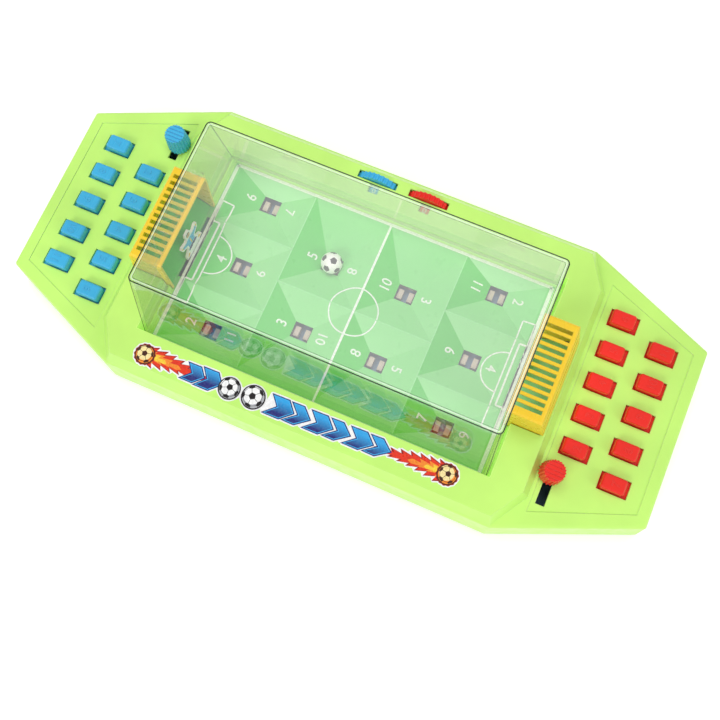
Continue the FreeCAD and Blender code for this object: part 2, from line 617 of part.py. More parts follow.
def make_lever(name, button_y, x, hole_x, hole_y, lane, bend, pivot):
    """Stem, rocking arm with its two pivot pins, and kicker paddle."""
    half = "dims.lever_wide / 2"
    paddle_low = f"({hole_x} - dims.paddle_far)"
    paddle_high = f"({hole_x} - dims.paddle_near)"
    span = (D.arm_bottom, D.arm_top)
    low_span = (D.kick_bottom, D.kick_top)
    solids = [
        block(name + "_stem", f"{x} - 4", f"{x} + 4", f"{button_y} - {half}",
              f"{button_y} + {half}", D.arm_bottom, "dims.cap_top - dims.cap_wall"),
        bent_bar(name + "_arm", f"{x} - 4", button_y, bend[0], button_y, half, *span),
        bent_bar(name + "_bend", bend[0], button_y, bend[1], lane, half, *span),
        bent_bar(name + "_rail", bend[1], lane, f"{pivot} + 3", lane, half, *span),
        block(name + "_hub", f"{pivot} - 3", f"{pivot} + 3", f"{lane} - {half}",
              f"{lane} + {half}", D.kick_bottom, D.arm_top),
        block(name + "_paddle", paddle_low, paddle_high,
              f"{hole_y} - dims.paddle_wide / 2", f"{hole_y} + dims.paddle_wide / 2",
              D.kick_bottom, D.paddle_top),
        rod(name + "_pins", D.pivot_radius,
            (pivot, f"{lane} - dims.lever_wide / 2 - dims.post_clear - dims.post_thick",
             D.pivot_height),
            "dims.lever_wide + 2 * dims.post_clear + 2 * dims.post_thick", axis="y"),
    ]
    turn_in = paddle_high if lane == hole_y else f"({paddle_low} - 9)"
    solids.append(bent_bar(name + "_kick", f"{pivot} + 3", lane, turn_in, lane, half, *low_span))
    if lane != hole_y:
        solids.append(bent_bar(name + "_reach", turn_in, lane, paddle_low, hole_y, half,
                               *low_span))
    return fuse(name + "_moulding", solids)


def make_key(side, number, button_x, button_y, hole_x, hole_y, lane, bend, turn):
    """A numbered button cap on its rocking lever."""
    x = f"(-{button_x})"
    cap_name = f"{side}_button_{number}"
    finish(cap_name, make_button(cap_name, button_y, x), turn)
    lever_name = f"{side}_lever_{number}"
    lever = make_lever(lever_name, button_y, x, hole_x, hole_y, lane, bend,
                       pivot_of(button_x, hole_x))
    finish(lever_name, lever, turn)


def upright_edge(edge):
    """Edge parallel to Z."""
    low, high = sorted(vertex.Z for vertex in edge.Vertexes)
    return high - low > 3


def make_keys():
    for key in key_table():
        make_key("blue", *key, turn=0)
    for key in key_table():
        make_key("red", *key, turn=180)


# --- base tray ---------------------------------------------------------------------------

def key_posts():
    """Blocks and journal cuts of every key bearing, both sides."""
    posts = []
    cuts = []
    for sign in (-1, 1):
        for number, button_x, _, hole_x, _, lane, _ in key_table():
            name = "post_%d_%d" % (sign + 1, number)
            x = f"{-sign} * {pivot_of(button_x, hole_x)}"
            y = f"{-sign} * {lane}"
            inner = "dims.lever_wide / 2 + dims.post_clear"
            outer = f"{inner} + dims.post_thick"
            for tag, low, high in (("a", f"{y} + {inner}", f"{y} + {outer}"),
                                   ("b", f"{y} - ({outer})", f"{y} - ({inner})")):
                posts.append(block(name + tag, f"{x} - dims.post_long / 2",
                                   f"{x} + dims.post_long / 2", low, high,
                                   "dims.tray_top - 0.5", D.post_top))
            radius = "dims.pivot_radius + dims.pivot_gap"
            cuts.append(rod(name + "_seat", radius, (x, f"{y} - 4", D.pivot_height), "8",
                            axis="y"))
            cuts.append(block(name + "_mouth", f"{x} - ({radius})", f"{x} + ({radius})",
                              f"{y} - 4", f"{y} + 4", D.pivot_height, "dims.post_top + 1"))
    return posts, cuts


def make_base_tray():
    body = new_body("tray_plate")
    outline = new_sketch(body, "tray_outline", height=D.base_bottom)
    spread = ("tan(dims.skirt_draft) * (dims.wing_top - dims.tray_top)"
              " - dims.wall - dims.tray_gap")
    add_polygon(outline, octagon(f"dims.rim_length / 2 + {spread}",
                                 f"dims.rim_end_width / 2 + 0.8 * ({spread}) - 0.5",
                                 f"dims.rim_shoulder / 2 + 0.2 * ({spread}) - 0.5",
                                 f"dims.rim_width / 2 + {spread}"))
    extrude(body, "Pad", outline, "dims.tray_top - dims.base_bottom")
    holes = new_sketch(body, "tray_screw_holes", height=D.base_bottom)
    for x, y in screw_places():
        add_circle(holes, x, y, "dims.screw_radius + 0.15")
    extrude(body, "Pocket", holes, "dims.tray_top - dims.base_bottom")
    sinks = new_sketch(body, "tray_sinks", height=D.base_bottom)
    for x, y in screw_places():
        add_circle(sinks, x, y, "dims.screw_head + 0.2")
    for x, y in corners_of(D.foot_x, D.foot_y):
        add_circle(sinks, x, y, D.foot_radius)
    extrude(body, "Pocket", sinks, D.foot_recess)
    posts, cuts = key_posts()
    finish("base_tray", cut("tray_finished", fuse("tray_solid", [body] + posts), cuts))


# --- keepers ---------------------------------------------------------------------------------

def make_knob(name, x, y):
    """Fluted, slightly conical knob with grip lines across its top, on a plain shaft."""
    cone = doc.addObject("Part::Cone", name + "cone")
    bind(cone, Radius1=D.knob_foot_radius, Radius2=D.knob_head_radius,
         Height="dims.knob_top - dims.knob_base", Base_x=x, Base_y=y, Base_z=D.knob_base)
    head = rounded(name + "head", cone, "1", lambda edge: at_height(edge, D.knob_top))
    count = int(value(D.knob_ridges))
    grooves = []
    for i in range(count):
        angle = f"{360 * i / count} deg"
        lean = "dims.knob_foot_radius - dims.knob_head_radius"
        groove = doc.addObject("Part::Cylinder", name + "groove_%d" % i)
        tilt = value(f"atan(({lean}) / (dims.knob_top - dims.knob_base))")
        turn = Rotation(Vector(0, 0, 1), 360 * i / count) * Rotation(Vector(0, 1, 0), -tilt)
        groove.Placement = Placement(Vector(), turn)
        bind(groove, Radius=D.knob_groove, Height="dims.knob_top - dims.knob_base + 4",
             Base_x=f"{x} + (dims.knob_foot_radius + 0.3) * cos({angle})",
             Base_y=f"{y} + (dims.knob_foot_radius + 0.3) * sin({angle})",
             Base_z="dims.knob_base - 1")
        grooves.append(groove)
    for i in (-2, -1, 0, 1, 2):
        middle = f"{y} + {i} * dims.knob_line_step"
        grooves.append(block(name + "line_%d" % (i + 2), f"{x} - dims.knob_foot_radius",
                             f"{x} + dims.knob_foot_radius", f"{middle} - 0.35",
                             f"{middle} + 0.35", "dims.knob_top - 0.5", "dims.knob_top + 1"))
    shaft = rod(name + "shaft", D.shaft_radius, (x, y, D.slider_top),
                "dims.knob_base - dims.slider_top + 1")
    return fuse(name + "knob_moulding", [cut(name + "fluted", head, grooves), shaft])


def make_keeper(side, turn, shift):
    """Knob, slider under the floor and flat goalkeeper figure, shown at the -X end."""
    x = "(-dims.knob_x)"
    y = f"(dims.knob_y + {shift})"
    name = side + "_keeper_"
    finish(name + "knob", make_knob(name, x, y), turn)
    half = "dims.slider_wide / 2"
    keeper_y = f"(0 + {shift})"
    slider = fuse(name + "slider_bar", [
        block(name + "cross", f"{x} - {half}", f"-dims.keeper_x + {half}", f"{y} - {half}",
              f"{y} + {half}", D.slider_bottom, D.slider_top),
        block(name + "rail", f"-dims.keeper_x - {half}", f"-dims.keeper_x + {half}",
              f"{keeper_y} - 6", f"{y} + {half}", D.slider_bottom, D.slider_top)])
    finish(name + "slider", slider, turn)
    blade = "dims.keeper_slot_wide / 2 - 0.3"
    figure = new_body(name + "figure_body")
    outline = new_sketch(figure, name + "outline", role="YZ_Plane",
                         height=f"-dims.keeper_x - ({blade})")
    right = [("7.0", D.slider_top), ("7.0", "17.5"), ("10.2", "18"), ("9.6", "21"),
             ("5.2", "24.5"), ("5.0", "28.5"), ("9.8", "31.5"), ("10.6", "35"),
             ("8.8", "36.4"), ("4.8", "34.4"), ("2.8", "35.2"), ("3.2", "38.2"),
             ("2.2", "40.8")]
    left = [(f"-{u}", z) for u, z in reversed(right)]
    add_polygon(outline, [(f"{u} + {keeper_y}", z) for u, z in right + left])
    extrude(figure, "Pad", outline, f"2 * ({blade})")
    finish(name + "figure", figure, turn)


def at_height(edge, height):
    return all(abs(vertex.Z - value(height)) < 0.01 for vertex in edge.Vertexes)


# --- score wheels ---------------------------------------------------------------------------

def make_score_wheel(side, sign):
    """Knurled thumb disc with a ten-sided number drum and two pins."""
    name = side + "_score_wheel"
    x = f"({sign} * dims.score_x)"
    start = "dims.score_disc_y - dims.score_disc_wide / 2"
    disc = rod(name + "_disc", D.score_radius, (x, start, D.score_axis), D.score_disc_wide,
               axis="y")
    knurls = []
    count = int(value(D.score_knurls))
    for i in range(count):
        angle = f"{360 * i / count} deg"
        knurls.append(rod(name + "_groove_%d" % i, D.score_groove,
                          (f"{x} + (dims.score_radius + 0.2) * cos({angle})", f"{start} - 1",
                           f"dims.score_axis + (dims.score_radius + 0.2) * sin({angle})"),
                          "dims.score_disc_wide + 2", axis="y"))
    drum = doc.addObject("Part::Prism", name + "_drum")
    drum.Polygon = 10
    drum.Placement = Placement(Vector(), Rotation(Vector(1, 0, 0), -90))
    bind(drum, Circumradius=D.drum_radius, Height=f"{start} - dims.drum_start + 0.5",
         Base_x=x, Base_y=D.drum_start, Base_z=D.score_axis)
    pins = rod(name + "_pins", D.score_pin,
               (x, "dims.well_width / 2 + dims.well_wall - 0.2", D.score_axis),
               "dims.score_disc_y + dims.score_slot_wide / 2 + 1.6"
               " - (dims.well_width / 2 + dims.well_wall - 0.2)", axis="y")
    finish(name, fuse(name + "_moulding", [cut(name + "_rim", disc, knurls), drum, pins]))


# --- feet, screws, sticker and ball ----------------------------------------------------------

def make_small_parts():
    feet = [rounded("foot_%d" % i, rod("foot_disc_%d" % i, "dims.foot_radius - 0.1", (x, y, "0"),
                                       "dims.base_bottom + dims.foot_recess"), "0.5",
                    lambda edge: at_height(edge, "0"))
            for i, (x, y) in enumerate(corners_of(D.foot_x, D.foot_y))]
    finish("rubber_feet", compound("feet_set", feet))
    screws = []
    for i, (x, y) in enumerate(screw_places()):
        bottom = "dims.base_bottom + dims.foot_recess"
        head = rod("screw_head_%d" % i, D.screw_head,
                   (x, y, f"{bottom} - dims.screw_head_high"), D.screw_head_high)
        shank = rod("screw_shank_%d" % i, "dims.screw_radius - 0.02", (x, y, bottom), "9")
        cross = [block("screw_cross_%d_%d" % (i, turn), f"{x} - {long}", f"{x} + {long}",
                       f"{y} - {wide}", f"{y} + {wide}", f"{bottom} - dims.screw_head_high - 1",
                       f"{bottom} - 0.5")
                 for turn, (long, wide) in enumerate((("1.5", "0.3"), ("0.3", "1.5")))]
        screws.append(cut("screw_%d" % i, fuse("screw_blank_%d" % i, [head, shank]), cross))
    finish("tray_screws", compound("screw_set", screws))
    sticker = block("sticker_sheet", "-dims.sticker_left", D.sticker_right,
                    "-dims.sticker_y - dims.sticker_wide / 2",
                    "-dims.sticker_y + dims.sticker_wide / 2",
                    D.deck_top, "dims.deck_top + dims.sticker_thick")
    finish("front_sticker", rounded("sticker_round", sticker, "dims.sticker_wide / 2 - 0.1",
                                    lambda edge: edge.Length < 0.5))
    ball = doc.addObject("Part::Sphere", "ball_solid")
    rest = ("dims.hole_top + 0.02 + sqrt(dims.ball_radius * dims.ball_radius"
            " - dims.hole_wide * dims.hole_wide / 4)")
    bind(ball, Radius=D.ball_radius, Base_x="-dims.inner_hole_x", Base_y=D.inner_hole_y,
         Base_z=rest)
    finish("ball", ball)


def compound(name, shapes):
    group = doc.addObject("Part::Compound", name)
    group.Links = shapes
    return group


# --- build, check and write --------------------------------------------------------------------

def problems():
    """Names of objects that failed, and of pieces whose shape is not sound."""
    failed = [obj.Name for obj in doc.Objects
              if any(word in obj.State for word in ("Invalid", "Error"))]
    unsound = [piece.Label for piece in PIECES
               if piece.Shape.isNull() or not piece.Shape.isValid()]
    return failed + unsound


make_top_shell()
make_base_tray()
make_pitch()
make_cover()
make_goal("blue_goal", 180)
make_goal("red_goal", 0)
make_keys()
make_keeper("blue", 0, "0")
make_keeper("red", 180, "-dims.red_keeper_shift")
make_score_wheel("blue", -1)
make_score_wheel("red", 1)
make_small_parts()
doc.recompute()

wrong = problems()
if wrong:
    raise RuntimeError("failed: " + ", ".join(wrong))
os.makedirs("parts", exist_ok=True)
for piece in PIECES:
    piece.Shape.exportStep("parts/%s.step" % piece.Label)
print(len(PIECES), "pieces written")
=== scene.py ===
import json
import math

import bmesh
import bpy
from mathutils import Matrix, Vector
from mathutils.bvhtree import BVHTree


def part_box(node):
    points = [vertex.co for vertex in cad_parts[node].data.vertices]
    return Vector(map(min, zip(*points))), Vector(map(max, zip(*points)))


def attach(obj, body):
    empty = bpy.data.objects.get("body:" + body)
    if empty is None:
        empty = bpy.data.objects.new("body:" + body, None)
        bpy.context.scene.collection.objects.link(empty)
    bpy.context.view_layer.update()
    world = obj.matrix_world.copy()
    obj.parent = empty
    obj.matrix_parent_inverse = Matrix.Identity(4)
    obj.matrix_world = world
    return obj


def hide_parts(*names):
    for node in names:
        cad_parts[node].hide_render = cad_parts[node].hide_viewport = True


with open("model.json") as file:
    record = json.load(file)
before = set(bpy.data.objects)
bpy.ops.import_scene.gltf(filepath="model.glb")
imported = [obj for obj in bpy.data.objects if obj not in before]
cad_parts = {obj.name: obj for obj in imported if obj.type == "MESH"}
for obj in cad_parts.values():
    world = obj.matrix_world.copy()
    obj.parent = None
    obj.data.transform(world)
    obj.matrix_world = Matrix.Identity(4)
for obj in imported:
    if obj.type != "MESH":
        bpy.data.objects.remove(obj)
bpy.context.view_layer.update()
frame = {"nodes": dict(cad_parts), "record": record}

# Looks of a push-button tabletop football game. The game is long in X, the blue
# player sits at -X, the red one at +X, and the sticker is at the front, -Y.
# Sizes are millimetres until MM turns them into metres for Blender.

MM = 0.001
NODES = frame["nodes"]
RECORD = frame["record"]
SIDES = {"blue": -1, "red": 1}

# --- colours (display values, 0 to 255) -------------------------------------------------

LIME = (199, 248, 120)
# Pitch green in painted shade and in painted light; the funnel faces are mixed between them by
# where they face.
PITCH_PAINTED_SHADE = (64, 198, 56)
PITCH_PAINTED_LIT = (156, 228, 150)
WELL_SHADE = (40, 64, 54)
YELLOW = (255, 210, 46)
BLUE = (62, 178, 226)
RED = (238, 40, 28)
IVORY = (208, 194, 174)
TRAY = (128, 164, 192)
WHITE = (250, 250, 248)
LINE_WHITE = (236, 246, 230)
NAVY = (22, 44, 120)
SKY = (70, 180, 240)
FLAME_RED = (226, 52, 26)
FLAME_YELLOW = (255, 206, 60)
FLAME_DARK = (150, 22, 16)
SHADE_GREY = (176, 178, 182)
SLOT_GREEN = (26, 136, 98)
INK = (26, 22, 24)


def linear(colour):
    """Display colour to the linear values that a shader takes."""
    parts = [c / 255 for c in colour]
    return tuple(p / 12.92 if p <= 0.04045 else ((p + 0.055) / 1.055) ** 2.4 for p in parts) + (1,)


def shade(colour, factor):
    """Darker or lighter display colour."""
    return tuple(min(255, c * factor) for c in colour)


# --- places (millimetres, from the middle of the game) ----------------------------------

WELL_HALF = (115.9, 65.8)
FUNNEL_MOUTH_Z = 11.9
SIDE_LEDGE_Y = 63.95
GOAL_LEDGE = (111.9, 31.2)
HOOD_SKIN_Z = 95.5
OUTER_HOLE = (79.8, 46)
INNER_HOLE = (25.7, 24.3)
LINE_X = 110.2
LINE_BACK = 62.9
LINE_FRONT = -63.5
PENALTY_BOX = (101, 109, 36)
GOAL_BOX = (104.3, 109, 21)
PENALTY_ARC = 13.2
CENTRE_CIRCLE = 15.8
RIDGE_X = 53
RIDGE_ROW = 23
NUMBER_SIZE = 9.4
NUMBER_OFFSET = 13.6
DRUM_AXIS_Z = 23.5
DRUM_RADIUS = 8.6
DRUM_DIGIT_Y = 74.1


# --- materials --------------------------------------------------------------------------

class Shader:
    """Small wrapper that adds nodes to one material and links them."""

    def __init__(self, name):
        self.material = bpy.data.materials.new(name)
        self.material.use_nodes = True
        self.tree = self.material.node_tree
        self.tree.nodes.clear()
        self.output = self.tree.nodes.new("ShaderNodeOutputMaterial")
        self.coords = self.add("TexCoord")

    def add(self, kind, settings=None, **inputs):
        """Add a node, set its attributes, and set or link its inputs by name."""
        node = self.tree.nodes.new("ShaderNode" + kind)
        for name, setting in (settings or {}).items():
            setattr(node, name, setting)
        for name, source in inputs.items():
            self.put(node, name, source)
        return node

    def put(self, node, name, source):
        """Set an input from a value or an output; "i3" is input 3, "_" a space in a name."""
        key = int(name[1:]) if name[0] == "i" and name[1:].isdigit() else name.replace("_", " ")
        socket = node.inputs[key]
        if isinstance(source, bpy.types.NodeSocket):
            self.tree.links.new(source, socket)
        else:
            socket.default_value = source

    def noise(self, scale, detail=2.0, stretch=None):
        """Noise over the object's own coordinates; scale is features per metre."""
        place = self.coords.outputs["Object"]
        if stretch:
            mapping = self.add("Mapping", Vector=place, Scale=stretch)
            place = mapping.outputs["Vector"]
        node = self.add("TexNoise", Vector=place, Scale=scale, Detail=detail)
        return node.outputs["Fac"]

    def spread(self, source, low, high):
        """Map a noise value to a range."""
        node = self.add("MapRange", Value=source, From_Min=0.3, From_Max=0.7,
                        To_Min=low, To_Max=high)
        return node.outputs["Result"]

    def mix(self, factor, first, second):
        """Colour mix; inputs 0, 6 and 7 are the factor and the two colours."""
        node = self.add("Mix", {"data_type": "RGBA"})
        self.put(node, "i0", factor)
        self.put(node, "i6", first)
        self.put(node, "i7", second)
        return node.outputs[2]

    def math(self, operation, first, second=0.0):
        """One step of arithmetic on values or outputs."""
        node = self.add("Math", {"operation": operation}, i0=first, i1=second)
        return node.outputs[0]

    def finish(self, surface):
        """Link the last shader to the output, and return the material."""
        self.tree.links.new(surface, self.output.inputs["Surface"])
        return self.material


def edge_wear(shader, radius):
    """Rounded normal, and a mask that is 1 on convex or concave edges: worn edges on mouldings and
    rubber, a painted highlight on the pitch and the hood.
    """
    bevel = shader.add("Bevel", {"samples": 4}, Radius=radius)
    flat = shader.add("NewGeometry")
    dot = shader.add("VectorMath", {"operation": "DOT_PRODUCT"},
                     i0=bevel.outputs["Normal"], i1=flat.outputs["Normal"])
    mask = shader.add("MapRange", Value=dot.outputs["Value"], From_Min=0.995, From_Max=0.80,
                      To_Min=0.0, To_Max=1.0)
    return bevel.outputs["Normal"], mask.outputs["Result"]


def moulded_plastic(name, colour, roughness=0.32, grain=0.05, edge=0.35, glow=0.06,
                    wear=0.35, well_painted_light=0.0):
    """Injection-moulded plastic: tone drift, fine spark grain, scuffs and worn edges.

    The well argument sets painted light: an emission that lifts the shade on the walls of the
    well.
    """
    shader = Shader(name)
    normal, mask = edge_wear(shader, edge * MM)
    drift = shader.spread(shader.noise(22, 3), 0.0, 1.0)
    base = shader.mix(drift, linear(shade(colour, 0.965)), linear(shade(colour, 1.02)))
    scuff = shader.spread(shader.noise(160, 6, (1, 0.12, 1)), 0.0, 1.0)
    rubbed = shader.math("MULTIPLY", mask, shader.spread(shader.noise(420, 3), 0.2, wear * 2))
    pale = tuple(0.5 * c + 127 for c in colour)
    base = shader.mix(rubbed, base, linear(pale))
    rough = shader.spread(scuff, roughness - 0.05, roughness + 0.08)
    skin = shader.add("Bump", Strength=grain, Distance=0.05 * MM, Height=shader.noise(5200, 2),
                      Normal=normal)
    sink = shader.add("Bump", Strength=0.22, Distance=0.35 * MM, Height=shader.noise(45, 2),
                      Normal=skin.outputs["Normal"])
    # The emission over the well walls is painted light that lifts their shade.
    surface = shader.add("BsdfPrincipled", Base_Color=base, Roughness=rough,
                         Normal=sink.outputs["Normal"], Subsurface_Weight=glow,
                         Subsurface_Radius=(1.0, 1.0, 0.6), Subsurface_Scale=2.0 * MM,
                         IOR=1.49, Emission_Color=base,
                         Emission_Strength=shader.math("MULTIPLY", inside_well(shader), well_painted_light))
    return shader.finish(surface.outputs["BSDF"])


def inside_well(shader):
    """1 on the walls of the well under the hood, 0 elsewhere; it marks where painted light is
    added.
    """
    place = shader.add("SeparateXYZ", Vector=shader.coords.outputs["Object"])
    near = [shader.math("LESS_THAN", shader.math("ABSOLUTE", place.outputs[axis]), half * MM)
            for axis, half in zip("XY", WELL_HALF)]
    return shader.math("MULTIPLY", *near)


def pitch_plastic(name):
    """Moulded green pitch: funnel faces differ in tone by painted light, lighter when they face
    the front or -X; its edges get a painted highlight, the holes below the funnel mouths painted
    shade, and its ledge is lime.
    """
    shader = Shader(name)
    normal, mask = edge_wear(shader, 0.3 * MM)
    # Painted light: faces turned to the front (-Y) or to -X mix towards the lit green, the others
    # towards the shaded green.
    slope = shader.add("SeparateXYZ",
                       Vector=shader.add("NewGeometry").outputs["True Normal"])
    across = slope.outputs["Y"]
    steep = shader.math("SUBTRACT", shader.math("ABSOLUTE", across),
                        shader.math("MULTIPLY", across, 0.3))
    painted_lit_side = shader.math("SUBTRACT", shader.math("MULTIPLY", steep, 1.2),
                       shader.math("MULTIPLY", slope.outputs["X"], 1.2))
    drift = shader.spread(shader.noise(40, 3), 0.32, 0.42)
    tone = shader.add("Clamp", Value=shader.math("ADD", painted_lit_side, drift)).outputs["Result"]
    base = shader.mix(tone, linear(PITCH_PAINTED_SHADE), linear(PITCH_PAINTED_LIT))
    # Painted highlight: edges and ridges of the pitch are mixed towards a paler green.
    base = shader.mix(shader.math("MULTIPLY", mask, 0.3), base, linear((176, 240, 176)))
    place = shader.add("SeparateXYZ", Vector=shader.coords.outputs["Object"])
    in_hole = shader.math("LESS_THAN", place.outputs["Z"], FUNNEL_MOUTH_Z * MM)
    base = shader.mix(in_hole, base, linear(WELL_SHADE))
    sides = shader.math("ABSOLUTE", place.outputs["Y"])
    ends = shader.math("ABSOLUTE", place.outputs["X"])
    beside_goal = shader.math("MULTIPLY", shader.math("GREATER_THAN", ends, GOAL_LEDGE[0] * MM),
                              shader.math("GREATER_THAN", sides, GOAL_LEDGE[1] * MM))
    ledge = shader.math("MAXIMUM", beside_goal,
                        shader.math("GREATER_THAN", sides, SIDE_LEDGE_Y * MM))
    base = shader.mix(ledge, base, linear(LIME))
    skin = shader.add("Bump", Strength=0.06, Distance=0.05 * MM, Height=shader.noise(5200, 2),
                      Normal=normal)
    surface = shader.add("BsdfPrincipled", Base_Color=base, Normal=skin.outputs["Normal"],
                         Roughness=shader.spread(shader.noise(160, 6), 0.26, 0.36),
                         Subsurface_Weight=0.08, Subsurface_Radius=(1.0, 1.0, 0.6),
                         Subsurface_Scale=2.0 * MM, IOR=1.49)
    return shader.finish(surface.outputs["BSDF"])


def faint_edge(name, colour, strength):
    """Line of light or shade caught in an edge of the clear hood, partly see-through."""
    shader = Shader(name)
    uneven = shader.spread(shader.noise(90, 3), strength - 0.08, strength + 0.08)
    solid = shader.add("BsdfPrincipled", Base_Color=linear(colour), Roughness=0.2)
    clear = shader.add("BsdfTransparent")
    surface = shader.add("MixShader", i0=uneven, i1=clear.outputs[0], i2=solid.outputs[0])
    return unshadowed(shader, surface)


def unshadowed(shader, surface):
    """Finish a clear material so that it casts no shadow."""
    shadow = shader.add("LightPath").outputs["Is Shadow Ray"]
    nothing = shader.add("BsdfTransparent")
    result = shader.add("MixShader", i0=shadow, i1=surface.outputs[0], i2=nothing.outputs[0])
    return shader.finish(result.outputs[0])


def softbox_sheen(shader):
    """Strength of the ceiling softbox mirrored in the hood's top, seen by the camera only.

    It fades towards the -X, -Y corner and vanishes as the view gets lower.
    """
    place = shader.add("SeparateXYZ", Vector=shader.coords.outputs["Object"])
    geometry = shader.add("NewGeometry")
    normal = shader.add("SeparateXYZ", Vector=geometry.outputs["True Normal"])
    view = shader.add("SeparateXYZ", Vector=geometry.outputs["Incoming"])
    reach = shader.math("ADD", place.outputs["X"],
                        shader.math("MULTIPLY", place.outputs["Y"], 0.5))
    spread = shader.add("MapRange", {"interpolation_type": "SMOOTHSTEP"}, Value=reach,
                        From_Min=-125 * MM, From_Max=-45 * MM, To_Min=0.05, To_Max=0.23)
    steepness = shader.add("MapRange", {"interpolation_type": "SMOOTHSTEP"},
                           Value=view.outputs["Z"], From_Min=0.5, From_Max=0.95)
    upward = shader.math("GREATER_THAN", normal.outputs["Z"], 0.9)
    outer = shader.math("GREATER_THAN", place.outputs["Z"], HOOD_SKIN_Z * MM)
    seen = shader.math("MULTIPLY", shader.math("MULTIPLY", upward, outer),
                       shader.add("LightPath").outputs["Is Camera Ray"])
    strength = shader.math("MULTIPLY", spread.outputs["Result"], steepness.outputs["Result"])
    return shader.math("MULTIPLY", strength, seen)


def clear_plastic(name):
    """Polished clear styrene, drawn as straight-through glass with mirror-like skins, a painted
    highlight on its edges and a painted softbox reflection on its top.
    """
    shader = Shader(name)
    normal, mask = edge_wear(shader, 0.5 * MM)
    ripple = shader.add("Bump", Strength=0.03, Distance=0.2 * MM, Height=shader.noise(30, 2),
                        Normal=normal)
    clear = shader.add("BsdfTransparent", Color=(0.930, 0.935, 0.930, 1))
    mirror = shader.add("BsdfGlossy", Normal=ripple.outputs["Normal"],
                        Roughness=shader.spread(shader.noise(260, 5, (1, 0.2, 1)), 0.01, 0.035))
    facing = shader.add("LayerWeight", Blend=0.5).outputs["Facing"]
    grazing = shader.math("MINIMUM", shader.math("POWER", facing, 5.0), 0.15)
    skin = shader.add("MixShader", i0=shader.math("ADD", grazing, 0.03),
                      i1=clear.outputs[0], i2=mirror.outputs[0])
    haze = shader.add("BsdfDiffuse", Color=linear((240, 248, 240)))
    scuffed = shader.add("MixShader", i0=shader.spread(shader.noise(70, 5), 0.002, 0.012),
                         i1=skin.outputs[0], i2=haze.outputs[0])
    # Painted highlight: a pale solid mixed in along the hood's edges, standing in for light caught
    # by refraction there.
    edge = shader.add("BsdfPrincipled", Base_Color=linear((214, 228, 208)), Roughness=0.15)
    walls = shader.add("MixShader", i0=shader.math("MULTIPLY", mask, 0.35),
                       i1=scuffed.outputs[0], i2=edge.outputs[0])
    sheen = shader.add("Emission", Color=(1, 1, 1, 1), Strength=softbox_sheen(shader))
    surface = shader.add("AddShader", i0=walls.outputs[0], i1=sheen.outputs[0])
    return unshadowed(shader, surface)


def printed_ink(name, colour, roughness=0.4, mottle=0.06):
    """Pad-printed ink or sticker film with a faint uneven density."""
    shader = Shader(name)
    patch = shader.spread(shader.noise(700, 4), 0.0, 1.0)
    base = shader.mix(patch, linear(shade(colour, 1 - mottle)), linear(shade(colour, 1 + mottle)))
    relief = shader.add("Bump", Strength=0.08, Distance=0.02 * MM, Height=shader.noise(2500, 2))
    surface = shader.add("BsdfPrincipled", Base_Color=base, Normal=relief.outputs["Normal"],
                         Roughness=shader.spread(shader.noise(300, 3), roughness - 0.06,
                                                 roughness + 0.06))
    return shader.finish(surface.outputs["BSDF"])


def gradient_ink(name, low, high, y_low, y_high):
    """Sticker ink that runs from one colour to another across the deck (along Y)."""
    shader = Shader(name)
    split = shader.add("SeparateXYZ", Vector=shader.coords.outputs["Object"])
    ramp = shader.add("MapRange", Value=split.outputs["Y"], From_Min=y_low * MM,
                      From_Max=y_high * MM)
    base = shader.mix(ramp.outputs["Result"], linear(low), linear(high))
    fleck = shader.spread(shader.noise(900, 3), 0.0, 0.04)
    base = shader.mix(fleck, base, linear((255, 255, 255)))
    surface = shader.add("BsdfPrincipled", Base_Color=base, Roughness=0.3)
    return shader.finish(surface.outputs["BSDF"])


def brushed_steel(name):
    """Turned screw steel with fine streaks."""
    shader = Shader(name)
    streak = shader.noise(900, 3, (1, 12, 1))
    base = shader.mix(streak, linear((168, 170, 174)), linear((206, 207, 210)))
    relief = shader.add("Bump", Strength=0.15, Distance=0.02 * MM, Height=streak)
    surface = shader.add("BsdfPrincipled", Base_Color=base, Metallic=1.0,
                         Roughness=shader.spread(streak, 0.25, 0.45),
                         Normal=relief.outputs["Normal"])
    return shader.finish(surface.outputs["BSDF"])


def soft_rubber(name):
    """Matt black rubber with dust in its grain."""
    shader = Shader(name)
    normal, mask = edge_wear(shader, 0.4 * MM)
    dusty = shader.spread(shader.noise(500, 5), 0.0, 0.35)
    base = shader.mix(shader.math("MAXIMUM", dusty, mask), linear((30, 30, 32)),
                      linear((84, 82, 80)))
    relief = shader.add("Bump", Strength=0.3, Distance=0.08 * MM, Height=shader.noise(1500, 3),
                        Normal=normal)
    surface = shader.add("BsdfPrincipled", Base_Color=base, Roughness=0.8,
                         Normal=relief.outputs["Normal"])
    return shader.finish(surface.outputs["BSDF"])


